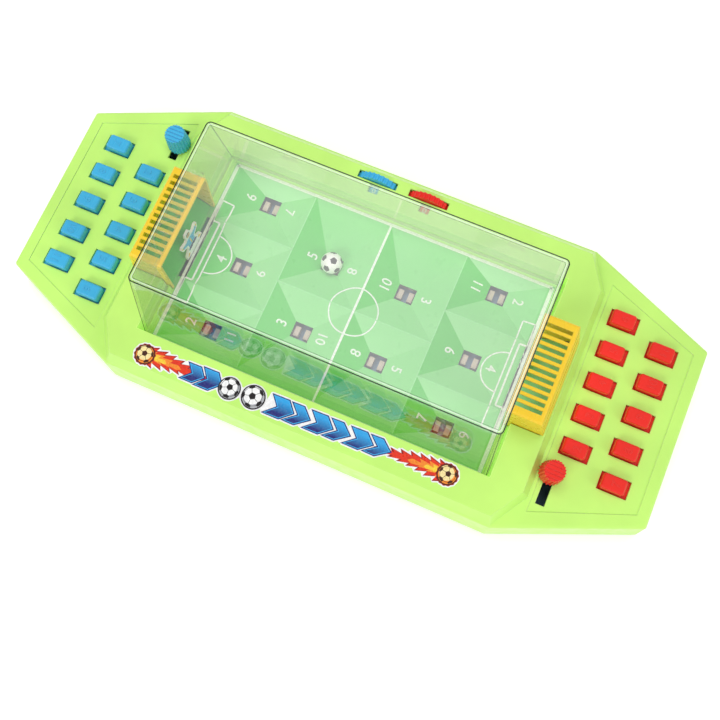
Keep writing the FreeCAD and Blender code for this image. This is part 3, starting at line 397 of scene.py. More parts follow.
M = {
    # The lime moulding gets painted light on the walls of the well.
    "lime_plastic": moulded_plastic("lime_moulding", LIME, roughness=0.36, edge=0.6,
                                    well_painted_light=0.3),
    "pitch_green": pitch_plastic("pitch_moulding"),
    "goal_yellow": moulded_plastic("goal_moulding", YELLOW, roughness=0.3, edge=0.3, glow=0.25),
    "blue_plastic": moulded_plastic("blue_moulding", BLUE, roughness=0.3, grain=0.12,
                                    edge=0.3, glow=0.03),
    "red_plastic": moulded_plastic("red_moulding", RED, roughness=0.34, grain=0.12,
                                   edge=0.3, glow=0.03),
    "lever_ivory": moulded_plastic("lever_moulding", IVORY, roughness=0.5),
    "tray_plastic": moulded_plastic("tray_moulding", TRAY, roughness=0.5, grain=0.2),
    "slider_green": moulded_plastic("slider_moulding", SLOT_GREEN, roughness=0.45),
    "keeper_white": moulded_plastic("keeper_card", WHITE, roughness=0.45),
    "foot_rubber": soft_rubber("foot_rubber_matt"),
    "screw_steel": brushed_steel("screw_steel_bright"),
    "clear_plastic": clear_plastic("hood_clear"),
    "hood_edge_dark": faint_edge("hood_edge_dark", (38, 54, 38), 0.88),
    "hood_edge_light": faint_edge("hood_edge_light", (232, 246, 226), 0.6),
    "hood_edge_faint": faint_edge("hood_edge_faint", (84, 108, 80), 0.55),
    # Paler green for the ridge lines, a painted highlight along the funnel ridges.
    "ridge_painted_highlight": printed_ink("pitch_ridge_painted_highlight", (150, 228, 148)),
    "line_ink": printed_ink("pitch_line_ink", LINE_WHITE),
    "number_ink": printed_ink("number_ink_white", (230, 244, 224)),
    "sticker_white": printed_ink("sticker_film_white", (250, 250, 250), roughness=0.25),
    "ink_black": printed_ink("ink_black", INK, roughness=0.3, mottle=0.2),
    "ink_navy": printed_ink("ink_navy", NAVY, roughness=0.3),
    "ink_red": printed_ink("ink_red", FLAME_RED, roughness=0.3),
    "ink_maroon": printed_ink("ink_maroon", FLAME_DARK, roughness=0.3),
    "ink_orange": printed_ink("ink_orange", (250, 140, 44), roughness=0.3),
    "ink_grey": printed_ink("ink_grey", SHADE_GREY, roughness=0.3),
    "ink_cream": printed_ink("ink_cream", (255, 226, 160), roughness=0.3),
    "ink_yellow": printed_ink("ink_yellow", FLAME_YELLOW, roughness=0.3),
    "ink_sky": printed_ink("ink_sky", SKY, roughness=0.3),
    "ink_skin": printed_ink("ink_skin", (226, 176, 140), roughness=0.4),
    "ink_brown": printed_ink("ink_brown", (70, 34, 20), roughness=0.3),
    "ink_blue_fade": gradient_ink("ink_blue_fade", (8, 24, 116), (28, 164, 232), -80, -72),
    "ball_white": moulded_plastic("ball_shell", (250, 248, 242), roughness=0.3, edge=0.1),
    "ball_black": moulded_plastic("ball_patch", (34, 30, 30), roughness=0.35, edge=0.1),
}


M["sticker_film"] = M["sticker_white"]


def dress_cad_nodes():
    """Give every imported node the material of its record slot."""
    for entry in RECORD["subparts"]:
        obj = NODES[entry["node"]]
        obj.data.materials.clear()
        obj.data.materials.append(M[entry["material_slot"]])


# --- mesh helpers -----------------------------------------------------------------------

def make_object(name, points, faces, materials, body, kinds=None, smooth=False):
    """Mesh object from points in millimetres, riding on one body."""
    mesh = bpy.data.meshes.new(name)
    mesh.from_pydata([Vector(p) * MM for p in points], [], faces)
    for material in materials:
        mesh.materials.append(M[material])
    if kinds:
        for polygon, kind in zip(mesh.polygons, kinds):
            polygon.material_index = kind
    if smooth:
        for polygon in mesh.polygons:
            polygon.use_smooth = True
    obj = bpy.data.objects.new(name, mesh)
    bpy.context.scene.collection.objects.link(obj)
    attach(obj, body)
    return obj


def tree_of(name):
    """Ray-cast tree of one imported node."""
    mesh = NODES[name].data
    return BVHTree.FromPolygons([v.co.copy() for v in mesh.vertices],
                                [tuple(p.vertices) for p in mesh.polygons])


PITCH_TREE = tree_of("pitch")
LIFT = 0.1


def pitch_height(x, y):
    """Top of the pitch in millimetres at a point of the plan."""
    hit = PITCH_TREE.ray_cast(Vector((x * MM, y * MM, 0.05)), Vector((0, 0, -1)))
    return hit[0].z / MM if hit[0] is not None else 17.0


class Print:
    """Collects flat printed shapes, then lays them on the pitch as one mesh."""

    def __init__(self):
        self.points = []
        self.faces = []

    def quad_strip(self, left, right):
        """Strip between two equally long lists of plan points, bent along its middle."""
        first = len(self.points)
        for a, b in zip(left, right):
            middle = ((a[0] + b[0]) / 2, (a[1] + b[1]) / 2)
            for spot in (a, middle, b):
                self.points.append((spot[0], spot[1], pitch_height(*spot) + LIFT))
        for i in range(len(left) - 1):
            k = first + 3 * i
            self.faces += [(k, k + 1, k + 4, k + 3), (k + 1, k + 2, k + 5, k + 4)]

    def line(self, start, end, width, step=1.2):
        """Straight printed line, cut fine enough to follow the funnels."""
        a, b = Vector(start), Vector(end)
        along = (b - a).normalized()
        across = Vector((-along.y, along.x)) * width / 2
        count = max(2, int((b - a).length / step))
        spots = [a.lerp(b, i / count) for i in range(count + 1)]
        self.quad_strip([tuple(s - across) for s in spots], [tuple(s + across) for s in spots])

    def arc(self, centre, radius, start, end, width, count=40):
        """Circular printed line; angles in degrees."""
        inner, outer = [], []
        for i in range(count + 1):
            angle = math.radians(start + (end - start) * i / count)
            ray = (math.cos(angle), math.sin(angle))
            inner.append((centre[0] + ray[0] * (radius - width / 2),
                          centre[1] + ray[1] * (radius - width / 2)))
            outer.append((centre[0] + ray[0] * (radius + width / 2),
                          centre[1] + ray[1] * (radius + width / 2)))
        self.quad_strip(outer, inner)

    def frame(self, x_low, x_high, y_low, y_high, width):
        """Printed rectangle."""
        corners = [(x_low, y_low), (x_high, y_low), (x_high, y_high), (x_low, y_high)]
        for i in range(4):
            self.line(corners[i], corners[(i + 1) % 4], width)

    def build(self, name, material):
        """Make the collected shapes into one piece."""
        return make_object(name, self.points, self.faces, [material], "housing")


def glyph_mesh(text, size, extrude=0.0, weight=0.008):
    """Plan mesh (points in mm, faces) of a centred text in the built-in font."""
    curve = bpy.data.curves.new("glyph_curve", "FONT")
    curve.body = text
    curve.size = size
    curve.align_x = "CENTER"
    curve.align_y = "CENTER"
    curve.extrude = extrude
    curve.bevel_depth = 0.0
    curve.resolution_u = 4
    curve.offset = size * weight
    obj = bpy.data.objects.new("glyph_object", curve)
    bpy.context.scene.collection.objects.link(obj)
    bpy.context.view_layer.update()
    mesh = bpy.data.meshes.new_from_object(obj.evaluated_get(
        bpy.context.evaluated_depsgraph_get()))
    points = [tuple(v.co) for v in mesh.vertices]
    faces = [tuple(p.vertices) for p in mesh.polygons]
    bpy.data.objects.remove(obj)
    bpy.data.curves.remove(curve)
    bpy.data.meshes.remove(mesh)
    return points, faces


def subdivided(points, faces, cuts=1):
    """Finer copy of a flat mesh, so that it can follow a bent surface."""
    work = bmesh.new()
    verts = [work.verts.new(p) for p in points]
    for face in faces:
        if len(set(face)) > 2:
            try:
                work.faces.new([verts[i] for i in face])
            except ValueError:
                continue
    bmesh.ops.subdivide_edges(work, edges=work.edges[:], cuts=cuts, use_grid_fill=True)
    bmesh.ops.triangulate(work, faces=work.faces[:])
    work.verts.index_update()
    result = [tuple(v.co) for v in work.verts], [tuple(v.index for v in f.verts)
                                                 for f in work.faces]
    work.free()
    return result


def turned(x, y, facing):
    """Turn a glyph's plan point so that it reads for the player at -X or +X.

    facing 1 is read from the -X end (its top points to +X), -1 from the +X end.
    """
    return y * facing, -x * facing


# --- pitch print ------------------------------------------------------------------------

def hole_table():
    """Hole centre, number for the blue player and number for the red player."""
    outer_x, outer_y = OUTER_HOLE
    inner_x, inner_y = INNER_HOLE
    half = [(outer_x, outer_y), (inner_x, inner_y), (outer_x, 0), (inner_x, -inner_y),
            (outer_x, -outer_y)]
    far = {place: 2 + i for i, place in enumerate(half)}
    near = {(-x, y): 7 + i for i, (x, y) in enumerate(half)}
    blue = {**far, **near}
    return [(x, y, number, blue[(-x, -y)]) for (x, y), number in blue.items()]


def print_pitch():
    """Field lines, painted highlight lines along the ridges between the funnels, and the numbers
    beside the holes.
    """
    lines = Print()
    lines.line((-LINE_X, LINE_BACK), (LINE_X, LINE_BACK), 2.1)
    lines.line((-LINE_X, LINE_FRONT), (LINE_X, LINE_FRONT), 0.9)
    for sign in (-1, 1):
        lines.line((sign * LINE_X, LINE_FRONT), (sign * LINE_X, LINE_BACK), 2.4)
        for (near, far, half), width in ((PENALTY_BOX, 1.0), (GOAL_BOX, 1.2)):
            lines.frame(*sorted((sign * near, sign * far)), -half, half, width)
        middle = 180 if sign > 0 else 0
        lines.arc((sign * PENALTY_BOX[0], 0), PENALTY_ARC, middle - 90, middle + 90, 0.9)
    lines.line((0, LINE_FRONT), (0, LINE_BACK), 1.5)
    lines.arc((0, 0), CENTRE_CIRCLE, 0, 360, 0.9, 96)
    lines.build("pitch_lines", "line_ink")
    # The ridge lines are a painted highlight: a paler green along the funnel ridges.
    ridges = Print()
    for sign in (-1, 1):
        ridges.line((sign * RIDGE_X, -62), (sign * RIDGE_X, 62), 0.7)
        ridges.line((sign * 1, 0), (sign * RIDGE_X, 0), 0.7)
        for row in (-RIDGE_ROW, RIDGE_ROW):
            ridges.line((sign * RIDGE_X, row), (sign * 107, row), 0.7)
    ridges.build("pitch_ridges", "ridge_painted_highlight")
    for x, y, blue_number, red_number in hole_table():
        for number, facing, offset in ((red_number, -1, -1), (blue_number, 1, 1)):
            place = (x + offset * NUMBER_OFFSET, y + (0.6 if number != 4 else 0))
            print_number(number, place, facing)


def print_number(number, place, facing):
    """One printed number beside a hole, laid on the funnel's slope."""
    points, faces = subdivided(*glyph_mesh(str(number), NUMBER_SIZE, weight=0.012), cuts=3)
    laid = []
    for px, py, _ in points:
        tx, ty = turned(px * 0.92, py, facing)
        x, y = place[0] + tx, place[1] + ty
        laid.append((x, y, pitch_height(x, y) + LIFT))
    side = "blue" if facing > 0 else "red"
    make_object(f"pitch_number_{side}_{number}", laid, faces, ["number_ink"], "housing")


# --- buttons ----------------------------------------------------------------------------

def emboss_buttons():
    """Raised number on every button cap, moulded in the cap's colour."""
    for side, sign in SIDES.items():
        for number in range(2, 12):
            low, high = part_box(f"{side}_button_{number}")
            middle = ((low[0] + high[0]) / 2 / MM, (low[1] + high[1]) / 2 / MM)
            top = high[2] / MM
            points, faces = glyph_mesh(str(number), 7.0, extrude=0.16)
            placed = []
            for px, py, pz in points:
                tx, ty = turned(px, py, -sign)
                placed.append((middle[0] + tx, middle[1] + ty, top + 0.1 + pz))
            make_object(f"{side}_button_number_{number}", placed, faces,
                        [f"{side}_plastic"], f"{side}_key_{number}")


# --- hood edges -------------------------------------------------------------------------

HOOD_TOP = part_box("clear_cover")[1][2] / MM
HOOD_HALF = (108.6, 51.3)
HOOD_FOOT = (115.2, 65.0, 23.6)
HOOD_ROUND = 3.0


def hood_outline(inset):
    """Round-cornered rectangle, inset from the hood's top outline."""
    radius = max(0.4, HOOD_ROUND - inset)
    outline = []
    for quarter, (sx, sy) in enumerate(((1, 1), (-1, 1), (-1, -1), (1, -1))):
        middle = (sx * (HOOD_HALF[0] - inset - radius), sy * (HOOD_HALF[1] - inset - radius))
        for k in range(7):
            angle = math.radians(90 * quarter + 15 * k)
            outline.append((middle[0] + radius * math.cos(angle),
                            middle[1] + radius * math.sin(angle)))
    return outline


def closed_bar(name, rings, material):
    """Closed tube mesh through a loop of equally long point rings."""
    count, sides = len(rings), len(rings[0])
    points = [point for ring in rings for point in ring]
    faces = []
    for i in range(count):
        for j in range(sides):
            a, b = i * sides + j, i * sides + (j + 1) % sides
            c, d = (b + sides) % len(points), (a + sides) % len(points)
            faces.append((a, b, c, d))
    return make_object(name, points, faces, [material], "housing")


def build_hood_edges():
    """Painted lines of light and shade along the clear hood's edges: lines around its top, one
    down each corner.
    """
    for name, near, far, material in (("hood_edge_outer", -0.05, 0.6, "hood_edge_dark"),
                                      ("hood_edge_inner", 1.3, 1.75, "hood_edge_light"),
                                      ("hood_edge_wall", 2.1, 2.35, "hood_edge_faint")):
        low, high = HOOD_TOP - 0.1, HOOD_TOP + 0.04
        rings = [[(*a, low), (*b, low), (*b, high), (*a, high)]
                 for a, b in zip(hood_outline(near), hood_outline(far))]
        closed_bar(name, rings, material)
    for i, (sx, sy) in enumerate(((1, 1), (-1, 1), (-1, -1), (1, -1))):
        foot = Vector((sx * (HOOD_FOOT[0] - 0.9), sy * (HOOD_FOOT[1] - 0.9), HOOD_FOOT[2]))
        head = Vector((sx * (HOOD_HALF[0] - 0.9), sy * (HOOD_HALF[1] - 0.9), HOOD_TOP - 0.4))
        corners = [(0.3, 0.0), (0.0, 0.3), (-0.3, 0.0), (0.0, -0.3)]
        points = [tuple(end + Vector((u, v, 0))) for end in (foot, head) for u, v in corners]
        faces = [(3, 2, 1, 0), (4, 5, 6, 7)]
        faces += [(j, (j + 1) % 4, (j + 1) % 4 + 4, j + 4) for j in range(4)]
        make_object(f"hood_edge_corner_{i}", points, faces, ["hood_edge_faint"], "housing")


# --- soccer ball pattern ----------------------------------------------------------------

def ball_faces():
    """Centres of a ball's 12 pentagons and 20 hexagons, with each one's plane distance."""
    golden = (1 + 5 ** 0.5) / 2
    corners = []
    for a in (-1, 1):
        for b in (-golden, golden):
            corners += [Vector((0, a, b)), Vector((a, b, 0)), Vector((b, 0, a))]
    pentagons = [c.normalized() for c in corners]
    hexagons = []
    for i in range(12):
        for j in range(i + 1, 12):
            for k in range(j + 1, 12):
                trio = [pentagons[i], pentagons[j], pentagons[k]]
                near = all(trio[m].dot(trio[(m + 1) % 3]) > 0.4 for m in range(3))
                if near:
                    hexagons.append(sum(trio, Vector()).normalized())
    return [(p, 0.9393) for p in pentagons] + [(h, 0.9149) for h in hexagons]


BALL_FACES = ball_faces()


def ball_patch(direction):
    """(is a dark pentagon, closeness to a seam) for a direction from the ball's centre."""
    scores = sorted(((direction.dot(n) / h, i) for i, (n, h) in enumerate(BALL_FACES)),
                    reverse=True)
    return scores[0][1] < 12, scores[0][0] - scores[1][0]


def build_ball():
    """Loose ball with sunk seams and twelve dark patches."""
    low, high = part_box("ball")
    centre = Vector([(a + b) / 2 for a, b in zip(low, high)])
    radius = (high[2] - low[2]) / 2
    work = bmesh.new()
    bmesh.ops.create_icosphere(work, subdivisions=6, radius=1)
    shown = Vector((0.29, -0.02, 0.96)).normalized()
    tilt = BALL_FACES[0][0].rotation_difference(shown).to_matrix()
    back = tilt.inverted()
    dark = []
    for face in work.faces:
        is_dark, _ = ball_patch(back @ face.calc_center_median().normalized())
        dark.append(1 if is_dark else 0)
    points = []
    for vert in work.verts:
        direction = vert.co.normalized()
        _, gap = ball_patch(back @ direction)
        sunk = 0.012 * math.exp(-(gap / 0.012) ** 2)
        points.append((centre + direction * radius * (1 - sunk)) / MM)
    faces = [tuple(v.index for v in f.verts) for f in work.faces]
    work.free()
    ball = make_object("loose_ball", points, faces, ["ball_white", "ball_black"], "ball",
                       kinds=dark, smooth=True)
    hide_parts("ball")


def icosahedron_edges():
    """Pairs of neighbouring pentagon centres."""
    centres = [n for n, _ in BALL_FACES[:12]]
    return [(i, j) for i in range(12) for j in range(12)
            if i != j and centres[i].dot(centres[j]) > 0.4]


def panel_outlines(spin):
    """Outlines of the dark pentagons and paths of the seams, as turned unit directions."""
    centres = [n for n, _ in BALL_FACES[:12]]
    edges = icosahedron_edges()
    pentagons, seams = [], []
    for i in range(12):
        rim = [(centres[i] * 2 + centres[j]).normalized() for a, j in edges if a == i]
        side = rim[0].cross(centres[i]).normalized()
        front = centres[i].cross(side)
        rim.sort(key=lambda v, s=side, f=front: math.atan2(v.dot(s), v.dot(f)))
        path = []
        for k in range(5):
            path += [rim[k].lerp(rim[(k + 1) % 5], t / 4).normalized() for t in range(4)]
        pentagons.append([spin @ v for v in path])
    for i, j in edges:
        if i < j:
            ends = [(centres[i] * 2 + centres[j]).normalized(),
                    (centres[j] * 2 + centres[i]).normalized()]
            seams.append([spin @ ends[0].lerp(ends[1], t / 5).normalized() for t in range(6)])
    return pentagons, seams


def disc(centre, radius, count=48):
    """Outline of a circle."""
    return [(centre[0] + radius * math.cos(math.tau * k / count),
             centre[1] + radius * math.sin(math.tau * k / count)) for k in range(count)]


def ball_picture(name, centre, radius, height, turn, inks):
    """Printed picture of a ball: outline disc, shade, lit area, pentagons and seams.

    inks are the slots of the skin, the shade and the patches.
    """
    spin = Matrix.Rotation(turn, 3, "Z") @ Matrix.Rotation(0.42, 3, "X")
    pentagons, seams = panel_outlines(spin)
    points, faces, kinds = [], [], []

    def add(outline, level, kind):
        first = len(points)
        points.extend((*on_deck(u, v), height + level) for u, v in outline)
        faces.append(tuple(range(first, first + len(outline))))
        kinds.append(kind)

    def flat(direction, scale=0.9):
        return (centre[0] + direction.x * radius * scale, centre[1] + direction.y * radius * scale)

    add(disc(centre, radius), 0.0, 2)
    add(disc(centre, radius * 0.9), 0.01, 1)
    add(disc((centre[0] - 0.1 * radius, centre[1] + 0.12 * radius), radius * 0.74), 0.02, 0)
    for outline in pentagons:
        if min(v.z for v in outline) > -0.35 and max(v.z for v in outline) > 0.12:
            shown = [v if v.z > 0 else Vector((v.x, v.y, 0)).normalized() for v in outline]
            add([flat(v) for v in shown], 0.03, 2)
    for path in seams:
        for a, b in zip(path, path[1:]):
            if min(a.z, b.z) > 0.05:
                start, end = Vector(flat(a)), Vector(flat(b))
                across = Vector((-(end - start).y, (end - start).x)).normalized() * 0.12
                add([tuple(start - across), tuple(end - across), tuple(end + across),
                     tuple(start + across)], 0.03, 2)
    return make_object(name, points, faces, list(inks), "housing",
                       kinds=kinds)


# --- front sticker ----------------------------------------------------------------------

STICKER_MIDDLE = (-5.5, -76.3)
STICKER_TURN = math.radians(1.4)
FILM_TOP = 34.66
FILM_THICK = 0.15
FILM_MARGIN = 0.9
FILM_REACH = 8.2
SLANT = 0.38
FIRE_BALL_U = 98
FIRE_BALL_RADIUS = 6.1
FIRE_INKS = ("ink_cream", "ink_orange", "ink_brown")
PLAIN_INKS = ("sticker_white", "ink_grey", "ink_black")


def on_deck(u, v):
    """Plan point of a sticker point: u along the sticker, v across it."""
    along, across = math.cos(STICKER_TURN), math.sin(STICKER_TURN)
    return (STICKER_MIDDLE[0] + u * along - v * across,
            STICKER_MIDDLE[1] + u * across + v * along)


def flat_shape(name, outline, height, material, thickness=0.0):
    """Flat printed polygon from sticker points; a thickness gives it side walls."""
    count = len(outline)
    plan = [on_deck(u, v) for u, v in outline]
    points = [(x, y, height) for x, y in plan]
    faces = [tuple(range(count))]
    if thickness:
        points += [(x, y, height - thickness) for x, y in plan]
        faces.append(tuple(range(2 * count - 1, count - 1, -1)))
        faces += [(i, i + count, (i + 1) % count + count, (i + 1) % count)
                  for i in range(count)]
    obj = make_object(name, points, faces, [material], "housing")
    work = bmesh.new()
    work.from_mesh(obj.data)
    bmesh.ops.triangulate(work, faces=work.faces[:])
    work.to_mesh(obj.data)
    work.free()
    return obj


def flame_outline(start, length, half_height, direction, tongues, sweep):
    """Flame that trails from a ball along X, its edges torn into swept-back tongues."""
    upper, lower = [], []
    for k in range(tongues):
        t = k / tongues
        reach = (k + 1.25) / tongues
        wide = half_height * (1 - t) ** 0.7
        bend = sweep * math.sin(t * 5.0)
        x_root = start[0] + direction * length * t
        x_tip = start[0] + direction * length * min(1.0, reach)
        upper += [(x_root, start[1] + bend + wide * 0.62),
                  (x_tip, start[1] + bend + wide * 0.95)]
        lower += [(x_root, start[1] + bend - wide * 0.55),
                  (x_tip, start[1] + bend - wide * 0.9)]
    tip = (start[0] + direction * length * 1.12, start[1] + sweep * math.sin(5.0))
    return upper + [tip] + lower[::-1]


def grown(outline, amount):
    """Outline pushed outward along its corner bisectors."""
    area = sum(a[0] * b[1] - b[0] * a[1] for a, b in zip(outline, outline[1:] + outline[:1]))
    sign = 1 if area > 0 else -1
    count = len(outline)
    result = []
    for i in range(count):
        before, here, after = (Vector(outline[(i + k) % count]) for k in (-1, 0, 1))
        first, second = (here - before).normalized(), (after - here).normalized()
        normals = [Vector((v.y, -v.x)) * sign for v in (first, second)]
        middle = normals[0] + normals[1]
        if middle.length < 0.35:
            middle = (first - second)
        middle.normalize()
        reach = amount / max(0.45, middle.dot(normals[0]) if middle.dot(normals[0]) > 0 else 1)
        result.append(tuple(here + middle * reach))
    return result


def chevron(u, width, height, arm):
    """Leaning arrow-head stripe from u to u + width; arm is the stripe's own width."""
    half = height / 2
    corners = [(0, -half), (arm, -half), (width, 0), (arm + SLANT * half, half),
               (SLANT * half, half), (width - arm, 0)]
    return [(u + x, v) for x, v in corners]


def film_outline(outlines):
    """One closed outline that follows all the printed shapes at a margin."""
    low_x = min(x for o in outlines for x, _ in o) - FILM_MARGIN
    high_x = max(x for o in outlines for x, _ in o) + FILM_MARGIN
    steps = int((high_x - low_x) / 0.8)
    tops, bottoms = [], []
    for i in range(steps + 1):
        x = low_x + (high_x - low_x) * i / steps
        cuts = [-0.6, 0.6]
        for offset in (-FILM_MARGIN, 0.0, FILM_MARGIN):
            for outline in outlines:
                for (xa, ya), (xb, yb) in zip(outline, outline[1:] + outline[:1]):
                    if (xa - x - offset) * (xb - x - offset) < 0:
                        y = ya + (yb - ya) * (x + offset - xa) / (xb - xa)
                        rise = FILM_MARGIN if offset == 0 else FILM_MARGIN * 0.3
                        cuts += [y + rise, y - rise]
        tops.append((x, min(max(cuts), FILM_REACH)))
        bottoms.append((x, max(min(cuts), -FILM_REACH)))
    return bottoms + tops[::-1]


def fire_ball(tag, u, direction):
    """Shapes of one burning ball, its flame trailing towards the sticker's middle."""
    layers = (("maroon", 41, 7.6, 7, "ink_maroon"), ("red", 39, 6.6, 7, "ink_red"),
              ("orange", 22, 4.2, 4, "ink_orange"), ("yellow", 13, 3.0, 3, "ink_yellow"))
    shapes = []
    for level, (tone, length, half, tongues, ink) in enumerate(layers):
        outline = flame_outline((u, 0), length, half, direction, tongues, 0.5)
        shapes.append((f"flame_{tag}_{tone}", outline, 0.02 * level, ink))
    corona = []
    for k in range(28):
        reach = FIRE_BALL_RADIUS + (0.8 if k % 2 else 0.3)
        corona.append((u + reach * math.cos(math.tau * k / 28),
                       reach * math.sin(math.tau * k / 28)))
    return shapes + [(f"corona_{tag}", corona, 0.09, "ink_maroon")]


def speed_row():
    """Outlines of the blue speed stripes between the two burning balls."""
    row = [chevron(-71, 12, 9.6, 6.5), chevron(-61.5, 14, 11, 8)]
    for step, arm in enumerate((9, 6, 8.5, 6, 8.5, 6)):
        row.append(chevron(-16 + 12.8 * step, 9 + 0.75 * arm, 11.4 - 0.3 * step, arm))
    return row


def build_sticker():
    """Front sticker: two burning balls and a row of blue stripes, with no lettering."""
    shapes = fire_ball("left", -FIRE_BALL_U, 1) + fire_ball("right", FIRE_BALL_U, -1)
    for i, inner in enumerate(speed_row()):
        level = 0.08 + 0.004 * i
        shapes += [(f"speed_edge_{i}", grown(inner, 1.1), level, "ink_navy"),
                   (f"speed_rim_{i}", grown(inner, 0.45), level + 0.06, "ink_sky"),
                   (f"speed_stripe_{i}", inner, level + 0.08, "ink_blue_fade")]
    pictures = [("sticker_ball_left", (-FIRE_BALL_U, 0), FIRE_BALL_RADIUS, 0.11, 0.6, FIRE_INKS),
                ("sticker_ball_right", (FIRE_BALL_U, 0), FIRE_BALL_RADIUS, 0.11, -0.6,
                 FIRE_INKS),
                ("sticker_ball_mid_0", (-41.4, -0.3), 7.0, 0.26, 0.0, PLAIN_INKS),
                ("sticker_ball_mid_1", (-25.8, 0.1), 7.5, 0.31, 1.1, PLAIN_INKS)]
    outlines = [shape[1] for shape in shapes] + [disc(p[1], p[2]) for p in pictures]
    film = flat_shape("front_sticker_film", film_outline(outlines), FILM_TOP, "sticker_white",
                      thickness=FILM_THICK)
    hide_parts("front_sticker")
    for name, outline, level, ink in shapes:
        flat_shape(name, outline, FILM_TOP + 0.01 + level, ink)
    for name, centre, radius, level, turn, inks in pictures:
        ball_picture(name, centre, radius, FILM_TOP + 0.02 + level, turn, inks)


# --- goalkeeper prints ------------------------------------------------------------------

def ellipse(u, z, half_u, half_z, count=20):
    """Outline of an upright ellipse."""
    return [(u + half_u * math.cos(math.tau * k / count),
             z + half_z * math.sin(math.tau * k / count)) for k in range(count)]


def keeper_art(kit):
    """Printed shapes of a goalkeeper card: ink, lift and outline from its foot."""
    head = ellipse(0, 37.6, 2.0, 2.2)
    face = [ellipse(s * 0.75, 37.75, 0.2, 0.26) for s in (-1, 1)]
    face += [[(-0.15, 37.5), (0.15, 37.5), (0.22, 36.95), (-0.22, 36.95)],
             [(-0.6, 36.5), (0, 36.38), (0.6, 36.5), (0, 36.6)]]
    gloves = [[(s * 8.2, 33.4), (s * 9.6, 33.0), (s * 9.9, 34.8), (s * 8.8, 35.6)]
              for s in (-1, 1)]
    socks = [[(s * 5.4, 20.4), (s * 7.6, 18.6), (s * 9.2, 19.6), (s * 6.8, 22.4)]
             for s in (-1, 1)]
    return [
        (kit, 0.0, [(-3.8, 26), (3.8, 26), (4.0, 29.4), (8.4, 32.2), (8.6, 34.6), (4.4, 33.6),
                    (0, 34.2), (-4.4, 33.6), (-8.6, 34.6), (-8.4, 32.2), (-4.0, 29.4)]),
        ("ink_navy", 0.0, [(-4.0, 25.6), (-5.6, 22.8), (-1.2, 22.4), (0, 23.4), (1.2, 22.4),
                           (5.6, 22.8), (4.0, 25.6)]),
        ("ink_skin", 0.0, head),
        ("ink_black", 0.02, [(-2.1, 37.9), (-1.7, 39.4), (0, 40.1), (1.7, 39.4), (2.1, 37.9),
                             (1.2, 38.8), (-1.2, 38.8)]),
    ] + [("ink_brown", 0.02, shape) for shape in face] + [
        ("ink_yellow", 0.0, shape) for shape in gloves + socks] + [
        ("ink_yellow", 0.02, [(-0.5, 26.6), (0.5, 26.6), (0.5, 32.4), (-0.5, 32.4)])]


def print_keepers():
    """Printed kit on both faces of each flat goalkeeper."""
    for side, kit in (("blue", "ink_sky"), ("red", "ink_red")):
        low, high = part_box(f"{side}_keeper_figure")
        middle = (low[1] + high[1]) / 2 / MM
        for face, x, outward in (("a", low[0] / MM, -1), ("b", high[0] / MM, 1)):
            for i, (ink, lift, outline) in enumerate(keeper_art(kit)):
                depth = x + outward * (0.04 + lift)
                points = [(depth, middle + u, z) for u, z in outline]
                make_object(f"{side}_keeper_print_{face}_{i}", points,
                            [tuple(range(len(points)))], [ink], f"{side}_keeper")


# --- score drums ------------------------------------------------------------------------

def print_score_numbers():
    """Digits 0 to 9 on the ten facets of each score drum."""
    for side in SIDES:
        low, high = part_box(f"{side}_score_wheel")
        x_axis = (low[0] + high[0]) / 2 / MM
        radius = DRUM_RADIUS * math.cos(math.pi / 10) + 0.03
        for digit in range(10):
            points, faces = glyph_mesh(str(digit), 5.2)
            turn = Matrix.Rotation(math.tau * digit / 10, 3, "Y")
            placed = []
            for px, py, _ in points:
                spot = turn @ Vector((px, 0, radius))
                placed.append((x_axis + spot.x, DRUM_DIGIT_Y + py, DRUM_AXIS_Z + spot.z))
            make_object(f"{side}_score_digit_{digit}", placed, faces, ["number_ink"],
                        f"{side}_score_wheel")


# --- studio -----------------------------------------------------------------------------

def build_floor():
    """Pale paper floor; a little glow keeps it white under the game."""
    shader = Shader("studio_paper")
    tone = shader.spread(shader.noise(3, 2), 0.0, 1.0)
    base = shader.mix(tone, linear((247, 247, 247)), linear((251, 251, 251)))
    surface = shader.add("BsdfPrincipled", Base_Color=base, Roughness=0.9,
                         Emission_Color=(1, 1, 1, 1), Emission_Strength=0.25)
    shader.finish(surface.outputs["BSDF"])
    mesh = bpy.data.meshes.new("studio_floor")
    size = 6.0
    mesh.from_pydata([(-size, -size, 0), (size, -size, 0), (size, size, 0), (-size, size, 0)],
                     [], [(0, 1, 2, 3)])
    mesh.materials.append(shader.material)
    floor = bpy.data.objects.new("studio_floor", mesh)
    bpy.context.scene.collection.objects.link(floor)


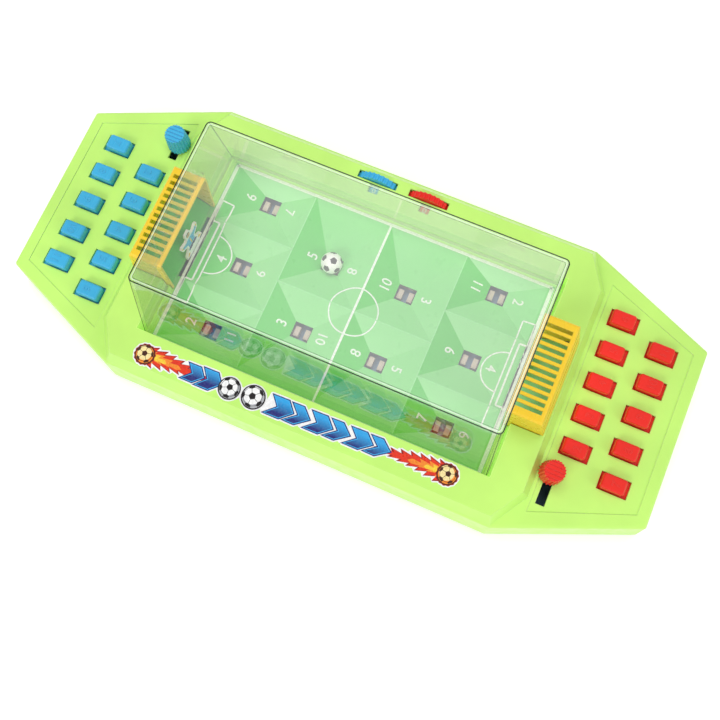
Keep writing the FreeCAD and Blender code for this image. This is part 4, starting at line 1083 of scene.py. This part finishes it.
def area_light(name, place, target, size, power):
    """Rectangular softbox aimed at a point (metres, watts)."""
    data = bpy.data.lights.new(name, "AREA")
    data.shape = "RECTANGLE"
    data.size, data.size_y = size
    data.energy = power
    light = bpy.data.objects.new(name, data)
    light.location = place
    light.rotation_euler = (Vector(target) - Vector(place)).to_track_quat("-Z", "Y").to_euler()
    bpy.context.scene.collection.objects.link(light)
    return light


def build_lights():
    """Even white surroundings with three softboxes."""
    world = bpy.data.worlds.new("studio_world")
    world.use_nodes = True
    world.node_tree.nodes["Background"].inputs["Color"].default_value = (1, 1, 1, 1)
    world.node_tree.nodes["Background"].inputs["Strength"].default_value = 0.52
    bpy.context.scene.world = world
    overhead = area_light("overhead_softbox", (-0.41, 0.69, 2.4), (-0.41, 0.69, 0),
                          (1.75, 1.0), 22)
    overhead.visible_glossy = False
    area_light("front_softbox", (-0.6, -1.8, 1.6), (0, 0, 0.02), (1.2, 0.8), 18)
    area_light("right_softbox", (1.9, -0.3, 1.0), (0.1, 0, 0.02), (0.8, 0.8), 8)


CAMERA_PLACE = Vector((0.07442, -0.12416, 0.51381))
CAMERA_FORWARD = Vector((-0.11372, 0.18982, -0.97521))
CAMERA_UPWARD = Vector((-0.38018, 0.89855, 0.21923))
SENSOR_WIDTH = 36
LENS_RATIO = 815 / 720


def build_camera():
    """Nearly overhead camera, turned so that the game lies on a diagonal."""
    forward = CAMERA_FORWARD.normalized()
    right = forward.cross(CAMERA_UPWARD).normalized()
    upward = right.cross(forward)
    data = bpy.data.cameras.new("photo_camera")
    data.sensor_width = SENSOR_WIDTH
    data.lens = SENSOR_WIDTH * LENS_RATIO
    data.clip_start = 0.01
    camera = bpy.data.objects.new("photo_camera", data)
    rotation = Matrix((right, upward, -forward)).transposed()
    camera.matrix_world = Matrix.Translation(CAMERA_PLACE) @ rotation.to_4x4()
    bpy.context.scene.collection.objects.link(camera)
    bpy.context.scene.camera = camera


dress_cad_nodes()
print_pitch()
emboss_buttons()
build_hood_edges()
build_ball()
build_sticker()
print_keepers()
print_score_numbers()
build_floor()
build_lights()
build_camera()
bpy.context.scene.view_settings.view_transform = "Standard"
